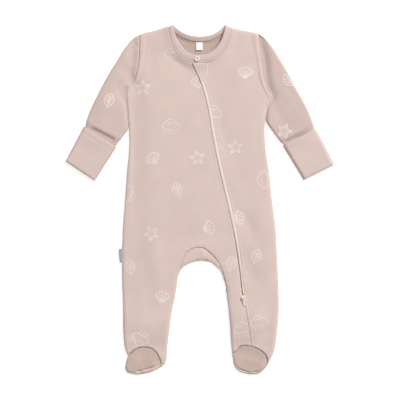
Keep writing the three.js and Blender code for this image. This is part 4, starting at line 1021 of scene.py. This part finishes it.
def flap_surface(corners):
    """A mitt flap: open at the mouth, rolled over along its other sides."""
    mouth, low_side, hem, high_side = spaced_sides(corners)
    rolled_edges = [np.vstack([low_side, hem[1:], high_side[1:]])]

    def height(p):
        from_mouth, along = nearest([mouth], p)
        share = np.clip(along / lengths(mouth)[-1], 0, 1)
        lift = FLAP["lift"] * np.sin(math.pi * share) * (1 - smooth(from_mouth / FLAP["lift_reach"]))
        top = FLAP_HEIGHT + lift + FLAP["softness"] * softly(*p.T)
        top += groove(from_mouth - FLAP["hem"], *FLAP["hem_ditch"])
        z = rolled(nearest(rolled_edges, p)[0], top, FLAP_HEIGHT / 2, FLAP["roll"])
        return z + groove(from_mouth, *FLAP["mouth_ditch"])

    plan = np.vstack([side[:-1] for side in (mouth, low_side, hem, high_side)])
    return joined(with_lips(skin(plan, height, step=FLAP["step"]), low_side, high_side))


def with_lips(surface, low, high):
    """The flap's long sides, carried on round the fold and a little way under."""
    points, triangles = surface
    middle = (low.mean(0) + high.mean(0)) / 2
    radius = FLAP_HEIGHT / 2
    for line in (low, high):
        ahead = line[-1] - line[0]
        inward = middle - line.mean(0)
        inward -= ahead * (inward @ ahead) / (ahead @ ahead)
        inward /= np.linalg.norm(inward)
        start, count = len(points), len(line)
        for turn in np.radians(LIP_ANGLES):
            row = line + inward * radius * (1 - math.cos(turn))
            heights = np.full(count, radius - radius * math.sin(turn))
            points = np.vstack([points, np.column_stack([row, heights])])
        faces = quads(len(LIP_ANGLES), count, start, around=False)
        lip = np.array([t for a, b, c, d in faces for t in ((a, b, c), (a, c, d))])
        outward = ahead @ np.array([inward[1], -inward[0]]) > 0
        triangles = np.vstack([triangles, lip if outward else lip[:, ::-1]])
    return points, triangles


sleeve_plans = {}
for name, grain in SLEEVE_GRAIN.items():
    plan, folded = sleeve_plan(name)
    sleeve_plans[name] = plan
    surface = joined(skin(plan, sleeve_top(name, folded), step=2.0),
                     skin(plan, sleeve_under(name, folded), up=False, step=3.0))
    shell(f"cloth_sleeve_{name}", surface, sleeve_cloth_shaded, f"sleeve_{name}", grain=grain)
    quad = np.array([corner(name, True, CUFF_START), corner(name, False, CUFF_START),
                     corner(name, False, 1), corner(name, True, 1)])
    shell(f"cloth_cuff_{name}", cuff_surface(quad), cloth, f"cuff_{name}", grain=grain)
    flap = flap_surface(CUFFS[name][[0, 1, 3, 2]])
    shell(f"cloth_flap_{name}", flap, cloth, f"mitt_flap_{name}", grain=grain)


# Neckband: a doubled strip of rib
def sweep(name, rings, material, node=None):
    """A solid swept through rings of points, closed at both ends."""
    count = len(rings[0])
    points = np.vstack(rings)
    faces = tube_faces(len(rings), count)
    volume = sum(float(np.dot(points[f[0]], np.cross(points[f[1]], points[f[2]]))
                       + np.dot(points[f[0]], np.cross(points[f[2]], points[f[3]])))
                 for f in faces[:-2])
    if volume < 0:
        faces = [f[::-1] for f in faces]
    along = lengths(np.array([row.mean(0) for row in rings]))
    uv = np.column_stack([np.repeat(along, count), np.tile(np.arange(count, dtype=float), len(rings))])
    mesh_object(name, points, faces, material, uv, sharp=60, node=node)
    surfaces[name] = BVHTree.FromPolygons(points.tolist(), faces)


BAND_PROFILE = [  # share of the width from the seam, and height in thicknesses of the rib
    (0.03, -0.5), (0.005, -0.25), (0.005, 0.1), (0.04, 0.32), (0.1, 0.43), (0.18, 0.49), (0.225, 0.46),
    (0.25, 0.32), (0.275, 0.48), (0.35, 0.54), (0.5, 0.57), (0.65, 0.56), (0.8, 0.53), (0.9, 0.46),
    (0.955, 0.3), (0.98, 0.0), (0.955, -0.25), (0.88, -0.4), (0.7, -0.48), (0.4, -0.5),
]
BAND_STITCH = 0.25
BAND_WAVE = {"height": 0.012, "length": 8, "ripple": 20, "seed": 9}
BAND_STEPS = 12
FLAT_BACK = slice(10, 15)  # rows across the back, which lie flatter than the solid
BACK_SEAM_Z = 2.7
BACK_EDGE_Z = 5.7
TUCKED_END = (10.8, 514.4, 6.0, 10.4, 528.8, 7.1)  # a last row, under the other end
band_rows = {column: values.copy() for column, values in NECKBAND.items()}
band_rows["seam_z"][FLAT_BACK] = BACK_SEAM_Z
band_rows["edge_z"][FLAT_BACK] = BACK_EDGE_Z
seam_rows, edge_rows = (
    np.column_stack([band_rows[f"{line}_{axis}"] for axis in ("x", "level", "z")])
    for line in ("seam", "edge")
)
seam_line = curve(np.vstack([seam_rows, TUCKED_END[:3]]), BAND_STEPS)
edge_line = curve(np.vstack([edge_rows, TUCKED_END[3:]]), BAND_STEPS)
across = edge_line - seam_line
up = np.cross(across / np.linalg.norm(across, axis=1)[:, None], np.gradient(seam_line, axis=0))
up /= np.linalg.norm(up, axis=1)[:, None]
band_along = lengths(seam_line)
uneven = 2 * ripple(band_along, band_along * 0, BAND_WAVE["ripple"], BAND_WAVE["seed"])
band_wave = BAND_WAVE["height"] * np.sin(band_along * 2 * math.pi / BAND_WAVE["length"] + uneven)
band_rings = np.stack([
    seam_line + across * share + up * RIB * (rise + (band_wave[:, None] if rise > 0 else 0))
    for share, rise in BAND_PROFILE
], axis=1)
sweep("rib_neckband", band_rings, rib, "neckband")

# Zip: the strip of tape with its coil under the cloth's edge
TAPE_RISE = 0.75
TAPE_SINK = 1.1
TAPE_UNDER_BAND = 1.6  # how far the tape runs on under the neckband's edge
TAPE_INSET = (0.35, 0.1)
TAPE_STEP = 0.55
COIL = {"height": 0.14, "every": 3}
TAPE_PROFILE = [  # share of the width, height, and whether the coil shows there
    (0, -1.3, 0), (0, -0.1, 0), (0.12, 0.1, 0), (0.3, 0.42, 1), (0.5, 0.58, 1), (0.7, 0.45, 1),
    (0.86, 0.32, 0), (1, 0.2, 0), (1, -1.3, 0),
]
y = np.arange(ZIP_TOP_LEVEL + TAPE_UNDER_BAND, ZIP_END_LEVEL, -TAPE_STEP)
left, right = zip_x(y) + TAPE_INSET[0], zip_x(y) + tape_width(y) - TAPE_INSET[1]
middle = (left + right) / 2
top = body_top(middle, y) + softly(middle, y) + TAPE_RISE
top -= TAPE_SINK * smooth((ZIP_SINK["from"] - y) / ZIP_SINK["reach"])
coil = COIL["height"] * (np.arange(len(y)) % COIL["every"] == 0)
tape_rings = np.stack([
    np.column_stack([left + (right - left) * share, y, top + (rise + coil * shows)])
    for share, rise, shows in TAPE_PROFILE
], axis=1)
sweep("zip_strip", tape_rings, tape, "zip_tape")

# Chin guard: a patch of cloth over the top of the zip
GUARD_STEP = 1.5
GUARD_GRID = {"step": 1.2, "rows": (0.4, 0.9, 1.6, 2.4)}
GUARD_RISE = 0.8
GUARD_OVER_ZIP = (0.8, 9)
PIPING = {"radius": 0.62, "inset": 0.7, "sink": 0.1, "sides": 8, "step": 0.8}
guard_levels = np.arange(CHIN_GUARD["top"], CHIN_GUARD["bottom"], -GUARD_STEP)
lowest = float(zip_x(CHIN_GUARD["bottom"])) + CHIN_GUARD["point"]
widening = (guard_levels - CHIN_GUARD["bottom"]) / (CHIN_GUARD["corner"] - CHIN_GUARD["bottom"])
guard_x = lowest + (CHIN_GUARD["right"] - lowest) * np.minimum(widening, 1)
guard_edge = np.column_stack([guard_x, guard_levels])
guard_lap = np.column_stack([zip_x(guard_levels) + CHIN_GUARD["lap"], guard_levels])
guard_plan = np.vstack([guard_lap, guard_edge[::-1]])


def guard_height(p):
    x, y = p.T
    d = nearest([looped(guard_plan)], p)[0]
    z = body_top(x, y) + softly(x, y) + GUARD_RISE + ridge(nearest([neck_line], p)[0], *NEAR_BAND)
    return z + ridge(x - zip_x(y), *GUARD_OVER_ZIP) + ditches("guard", d)


guard = skin(guard_plan, guard_height, **GUARD_GRID)
shell("cloth_chin_guard", guard, cloth, "chin_guard", thick=GUARD_CLOTH)
around = np.linspace(0, 2 * math.pi, PIPING["sides"], endpoint=False)
piping_rings = []
for x, y in spaced(guard_edge[1:-1], PIPING["step"]):
    z = landing("cloth_chin_guard", x - PIPING["inset"], y).z - PIPING["sink"]
    wide, high = PIPING["radius"] * np.cos(around), PIPING["radius"] * np.sin(around)
    piping_rings.append(np.column_stack([x + wide, np.full(len(around), y), z + high]))
sweep("guard_piping", piping_rings, print_ink)


# Turned and small pieces
snap_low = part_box("snap")[0][2] / MM


def lathe(name, profile, material, node=None, sides=48):
    """A piece turned round the snap's middle, from radii in its own radius and heights."""
    turn = np.linspace(0, 2 * math.pi, sides, endpoint=False)
    circle = SNAP["radius"] * np.column_stack([np.cos(turn), np.sin(turn)])
    points = np.vstack([
        np.column_stack([circle * share + (SNAP["x"], SNAP["level"]), np.full(sides, snap_low + z)])
        for share, z in profile
    ])
    mesh_object(name, points, tube_faces(len(profile), sides), material, sharp=40, node=node)


lathe("snap_cap", [
    (0.97, 0), (1, 0.12), (1, 0.45), (0.96, 0.8), (0.88, 1.1), (0.76, 1.28), (0.64, 1.28),
    (0.54, 1.12), (0.46, 0.75), (0.4, 0.55), (0.15, 0.5),
], enamel, "snap")
# A dark disc in the cap's hollow middle, painted as the shade there
lathe("snap_hole_painted_shade", [(0.22, 0.45), (0.22, 0.6), (0.05, 0.605)], painted_hole_shade, sides=20)

# The slider and its pull tab keep the form of their solids, with softened edges
EDGE_SOFTNESS = 0.15
for name in ("zip_slider", "zip_pull"):
    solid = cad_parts[name]
    solid.data.materials.clear()
    solid.data.materials.append(slider_enamel)
    bevel = solid.modifiers.new("softened_edges", "BEVEL")
    bevel.width = EDGE_SOFTNESS * MM
    bevel.segments = 2
    bevel.limit_method = "ANGLE"
    bevel.angle_limit = math.radians(40)

# Labels
LABEL_STEP = 0.8
LABEL_GRID = {"step": 0.9, "rows": (0.4, 0.8)}
LABEL = {"gap": 0.45, "bend": 2.0, "wave": 0.15, "turns": 1.1}
SIDE_LABEL = {
    "x": -128.6, "level": 196.5, "reach": 5.4, "lower": 0.6, "length": 24, "taper": 3, "height": 3.7,
    "wave": 0.12, "turns": 0.7,
}
(low_x, low_y, low_z), (high_x, high_y, _) = (np.array(end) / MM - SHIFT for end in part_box("neck_label"))


def label_height(p):
    """The neck label bends up over the seam that it hangs from."""
    bend = (p[:, 1] - low_y) / (high_y - low_y)
    wave = LABEL["wave"] * np.sin((p[:, 0] - low_x) * LABEL["turns"])
    return low_z + LABEL["gap"] + LABEL["bend"] * (1 - bend) ** 2 + wave


def side_label_height(p):
    return SIDE_LABEL["height"] + SIDE_LABEL["wave"] * np.sin(p[:, 1] * SIDE_LABEL["turns"])


label_plan = np.array([(low_x, low_y), (high_x, low_y), (high_x, high_y), (low_x, high_y)])
label_skin = skin(spaced(looped(label_plan), LABEL_STEP)[:-1], label_height, **LABEL_GRID)
shell("neck_label_tape", label_skin, white_label, "neck_label", thick=LABEL_CLOTH)
inner_x, outer_x = SIDE_LABEL["x"], SIDE_LABEL["x"] - SIDE_LABEL["reach"]
inner_half, outer_half = SIDE_LABEL["length"] / 2, (SIDE_LABEL["length"] - SIDE_LABEL["taper"]) / 2
side_plan = np.array([
    (inner_x, SIDE_LABEL["level"] - inner_half), (inner_x, SIDE_LABEL["level"] + inner_half),
    (outer_x, SIDE_LABEL["level"] + outer_half),
    (inner_x - SIDE_LABEL["reach"] * SIDE_LABEL["lower"], SIDE_LABEL["level"] - outer_half),
])
side_skin = skin(spaced(looped(side_plan), LABEL_STEP)[:-1], side_label_height, **LABEL_GRID)
shell("side_label_tape", side_skin, grey_label, "side_label", thick=SIDE_LABEL_CLOTH)


# Print: line drawings of leaves, stars, clouds and shells, in millimetres
def arc(cx, cy, rx, ry, start, end, count=24):
    t = np.radians(np.linspace(start, end, count))
    return np.column_stack([cx + rx * np.cos(t), cy + ry * np.sin(t)])


def leaf():
    t = np.linspace(0, 1, 24)
    side = 8.5 * np.sin(math.pi * t) ** 0.85
    spine = -13 + 26 * t
    lines = [np.column_stack([side, spine]), np.column_stack([-side, spine]), np.array([(0, -17), (0.6, 9)])]
    for share in (0.25, 0.42, 0.6):
        y = -13 + 26 * share
        reach = 6.4 * math.sin(math.pi * share)
        lines += [np.array([(0.2, y), (sign * reach, y + 4.2)]) for sign in (-1, 1)]
    return lines


def star():
    turn = np.radians(90 + 36 * np.arange(11))
    radius = np.where(np.arange(11) % 2 == 0, 14.5, 6.2)
    outer = np.column_stack([radius * np.cos(turn), radius * np.sin(turn)])
    return [outer, *[np.vstack([outer[i] * 0.82, outer[i] * 0.22]) for i in range(0, 10, 2)]]


def cloud():
    bumps = [
        arc(-9, -2, 6, 6, 250, 80, 14), arc(-1, 3.5, 8, 7.5, 160, 25, 16),
        arc(9, -1.5, 6.5, 6.5, 100, -80, 14),
    ]
    drops = [np.array([(x, -11.5), (x - 1.6, -15.5)]) for x in (-8, -1, 6)]
    return [np.vstack([*bumps, arc(0, -8, 12, 0.4, 0, -180, 8)]), *drops, arc(-1, 1, 4.2, 3.6, 200, 20, 12)]


def shell_motif():
    fan = arc(0, -9, 15, 18, 28, 152, 30)
    scallop = fan + np.column_stack([np.zeros(30), 0.9 * np.abs(np.sin(np.linspace(0, 6 * math.pi, 30)))])
    ribs = [np.array([(0, -10), scallop[i] * 0.93]) for i in (2, 8, 15, 21, 27)]
    return [scallop, *ribs, np.array([scallop[0], (0, -11.5), scallop[-1]])]


MOTIFS = [leaf(), star(), cloud(), shell_motif()]
MOTIF_SCALE = 0.92
MOTIF_REACH = 20
TURNS = (12, -38, 64, 0, 150, -75, 30, 95, -15)
PRINT_PITCH = (84.0, 58.0)
PRINT_WANDER = 6
LINE_WIDTH = 1.25
LINE_STEP = 0.7
PRINT_MARGIN = 0.5
PRINT_LIFT = 0.05
SMALLEST_PART = 0.3  # a motif of which less than this share lies on the piece is left out
PRINTED = {  # outline of the piece, start of the print's rows, their grain, and whether its outside faces up
    "front_right": (front_right_plan, (-36.0, 300.0), 4, True),
    "front_left": (front_left_plan, (20.0, 322.0), -3, True),
    "sleeve_right": (sleeve_plans["right"], (-152.0, 448.0), SLEEVE_GRAIN["right"], True),
    "sleeve_left": (sleeve_plans["left"], (150.0, 481.0), SLEEVE_GRAIN["left"], True),
    "back": (back_plan, (10.0, 300.0), 3, False),
}


def motif_places(plan, origin, grain):
    """Middle, turn and drawing of each motif whose middle lies on or near an outline."""
    low, high = plan.min(0) - MOTIF_REACH, plan.max(0) + MOTIF_REACH
    reach = int(np.ptp(plan, axis=0).max() / min(PRINT_PITCH)) + 2
    for row in range(-reach, reach):
        for column in range(-reach, reach):
            centre = np.array([(column + 0.5 * (row % 2)) * PRINT_PITCH[0], row * PRINT_PITCH[1]])
            wander = np.array([math.sin(row * 5 + column * 3), math.cos(row * 2 + column * 7)])
            centre = turned(grain) @ (centre + PRINT_WANDER * wander) + origin
            if (centre >= low).all() and (centre <= high).all():
                turn = TURNS[(row * 4 + column * 7) % len(TURNS)] + grain
                yield centre, turn, MOTIFS[(row + 2 * column) % len(MOTIFS)]


def drawn_quads(motif, turn, centre, plan):
    """The motif's lines as short ribbons where they lie on a piece, or none if too little of it does."""
    drawn, wanted = [], 0
    for line in motif:
        path = spaced((line * MOTIF_SCALE) @ turned(turn).T + centre, LINE_STEP)
        side = sideways(path) * LINE_WIDTH / 2
        left, right = path + side, path - side
        both = np.vstack([left, right])
        fits = inside(both, plan) & (nearest([looped(plan)], both)[0] > PRINT_MARGIN)
        fits = fits[: len(path)] & fits[len(path) :]
        wanted += len(path) - 1
        drawn += [[left[i], right[i], right[i + 1], left[i + 1]]
                  for i in range(len(path) - 1) if fits[i] and fits[i + 1]]
    return drawn if len(drawn) >= SMALLEST_PART * wanted else []


def print_on(piece, plan, origin, grain, up):
    """Lays the motifs over a piece of cloth as flat ribbons that follow its surface."""
    points, faces, uv = [], [], []
    for centre, turn, motif in motif_places(plan, origin, grain):
        for quad in drawn_quads(motif, turn, centre, plan):
            hits = [landing(f"cloth_{piece}", *place, up) for place in quad]
            if any(hit is None for hit in hits):
                continue
            order = range(len(points), len(points) + 4)
            faces.append(list(order if up else order[::-1]))
            points += [(hit.x, hit.y, hit.z + (PRINT_LIFT if up else -PRINT_LIFT)) for hit in hits]
            uv += quad
    _, first, merged = np.unique(np.round(points, 3), axis=0, return_index=True, return_inverse=True)
    faces = [face for face in merged.ravel()[np.array(faces)].tolist() if len(set(face)) == 4]
    mesh_object(f"print_{piece}", np.array(points)[first], faces, print_ink, np.array(uv)[first])


for piece, layout in PRINTED.items():
    print_on(piece, *layout)

# Stitches
STITCH = {"pitch": 2.5, "length": 1.7, "radius": 0.2, "above": 0.08, "sides": 6, "bend": 1.6}
STITCH_PROFILE = [(-0.5, 0.25), (-0.3, 0.85), (0, 1), (0.3, 0.85), (0.5, 0.25)]  # share of length, size
ARMHOLE_STITCH = 5.4
ZIP_STITCH_END = ZIP_END_LEVEL - 16
MOUTH_ENDS = slice(4, -4)


def stitches(name, chain, target):
    """A row of stitches along a line, sunk a little into the cloth."""
    along, slope = lengths(chain), np.gradient(chain, axis=0)
    points, faces = [], []
    radius, around = STITCH["radius"], np.arange(STITCH["sides"]) * 2 * math.pi / STITCH["sides"]
    for middle in np.arange(STITCH["pitch"] / 2, along[-1], STITCH["pitch"]):
        p, ahead = (
            np.array([np.interp(middle, along, values[:, i]) for i in range(2)]) for values in (chain, slope)
        )
        ahead /= np.linalg.norm(ahead)
        hit = landing(target, *p)
        if hit is None:
            continue
        rows = quads(len(STITCH_PROFILE), STITCH["sides"], len(points))
        faces += [(a, d, c, b) for a, b, c, d in rows]
        for share, size in STITCH_PROFILE:
            x, y = p + ahead * share * STITCH["length"]
            z = hit.z + STITCH["above"] - radius * STITCH["bend"] * (2 * share) ** 2
            for wide, high in zip(np.cos(around) * radius * size, np.sin(around) * radius * size):
                points.append((x - ahead[1] * wide, y + ahead[0] * wide, z + high))
    mesh_object(name, points, faces, thread, sharp=80)


def beside(chain, distance):
    """A chain moved to its left, with its points 1 mm apart."""
    return spaced(moved(chain, distance), 1.0)


def above_zip_end(chain):
    return chain[chain[:, 1] > ZIP_STITCH_END]


for name in OUTWARD:
    stitches(f"stitch_neck_{name}", beside(neck_line, NECK_STITCH), f"cloth_front_{name}")
stitches("stitch_band", (seam_line + across * BAND_STITCH)[:, :2], "rib_neckband")
stitches("stitch_zip_right", beside(above_zip_end(zip_right), -ZIP_STITCH), "cloth_front_right")
stitches("stitch_zip_left", beside(above_zip_end(zip_left), ZIP_STITCH), "cloth_front_left")
for name, out in OUTWARD.items():
    stitches(f"stitch_vamp_{name}", beside(ankle[name], -VAMP_STITCH), f"cloth_vamp_{name}")
    stitches(f"stitch_armhole_{name}", beside(armhole[name], -ARMHOLE_STITCH * out), f"cloth_front_{name}")
    inward = (CUFFS[name][2] - CUFFS[name][0]) / np.linalg.norm(CUFFS[name][2] - CUFFS[name][0])
    mouth = spaced(CUFFS[name][:2], 1.0)[MOUTH_ENDS]
    stitches(f"stitch_flap_{name}", mouth + inward * FLAP["hem"], f"cloth_flap_{name}")

# Floor, lights and camera
FLOOR_HALF = 1.5
FLOOR_DROP = 0.0003
KEY_LIGHT = {"place": (3.7, 4.3, 5.4), "size": (2.7, 2.3), "power": 608}
TOP_LIGHT = {"place": (-0.2, 0.0, 3.2), "size": (1.6, 1.6), "power": 26}
ROOM_LIGHT = {"color": (1, 0.955, 0.935, 1), "strength": 0.275}
VIEW_WIDTH = 0.66
LENS = 120.0
SENSOR = 36.0
GARMENT_MIDDLE = 0.006  # the height that the view's width is measured at
floor_mesh = bpy.data.meshes.new("floor")
floor_mesh.from_pydata([(x * FLOOR_HALF, y * FLOOR_HALF, 0) for x, y in ((-1, -1), (1, -1), (1, 1), (-1, 1))],
                       [], [(0, 1, 2, 3)])
floor_mesh.materials.append(floor_white)
floor = bpy.data.objects.new("floor", floor_mesh)
bpy.context.scene.collection.objects.link(floor)
floor.location.z = -FLOOR_DROP


def area_light(name, place, size, power):
    """A light aimed at the garment's middle."""
    light = bpy.data.lights.new(name, "AREA")
    light.shape = "RECTANGLE"
    light.size, light.size_y = size
    light.energy = power
    obj = bpy.data.objects.new(name, light)
    obj.location = place
    obj.rotation_mode = "QUATERNION"
    obj.rotation_quaternion = (-Vector(place)).to_track_quat("-Z", "Y")
    bpy.context.scene.collection.objects.link(obj)


area_light("key", **KEY_LIGHT)
area_light("top", **TOP_LIGHT)
world = bpy.data.worlds.new("studio")
world.use_nodes = True
world.node_tree.nodes["Background"].inputs["Color"].default_value = ROOM_LIGHT["color"]
world.node_tree.nodes["Background"].inputs["Strength"].default_value = ROOM_LIGHT["strength"]
bpy.context.scene.world = world
bpy.context.scene.view_settings.view_transform = "Standard"
camera_data = bpy.data.cameras.new("camera")
camera_data.lens = LENS
camera_data.sensor_width = SENSOR
camera_data.clip_end = 20
camera = bpy.data.objects.new("camera", camera_data)
camera.location = (0.0002, -0.0001, VIEW_WIDTH * LENS / SENSOR + GARMENT_MIDDLE)
bpy.context.scene.collection.objects.link(camera)
bpy.context.scene.camera = camera
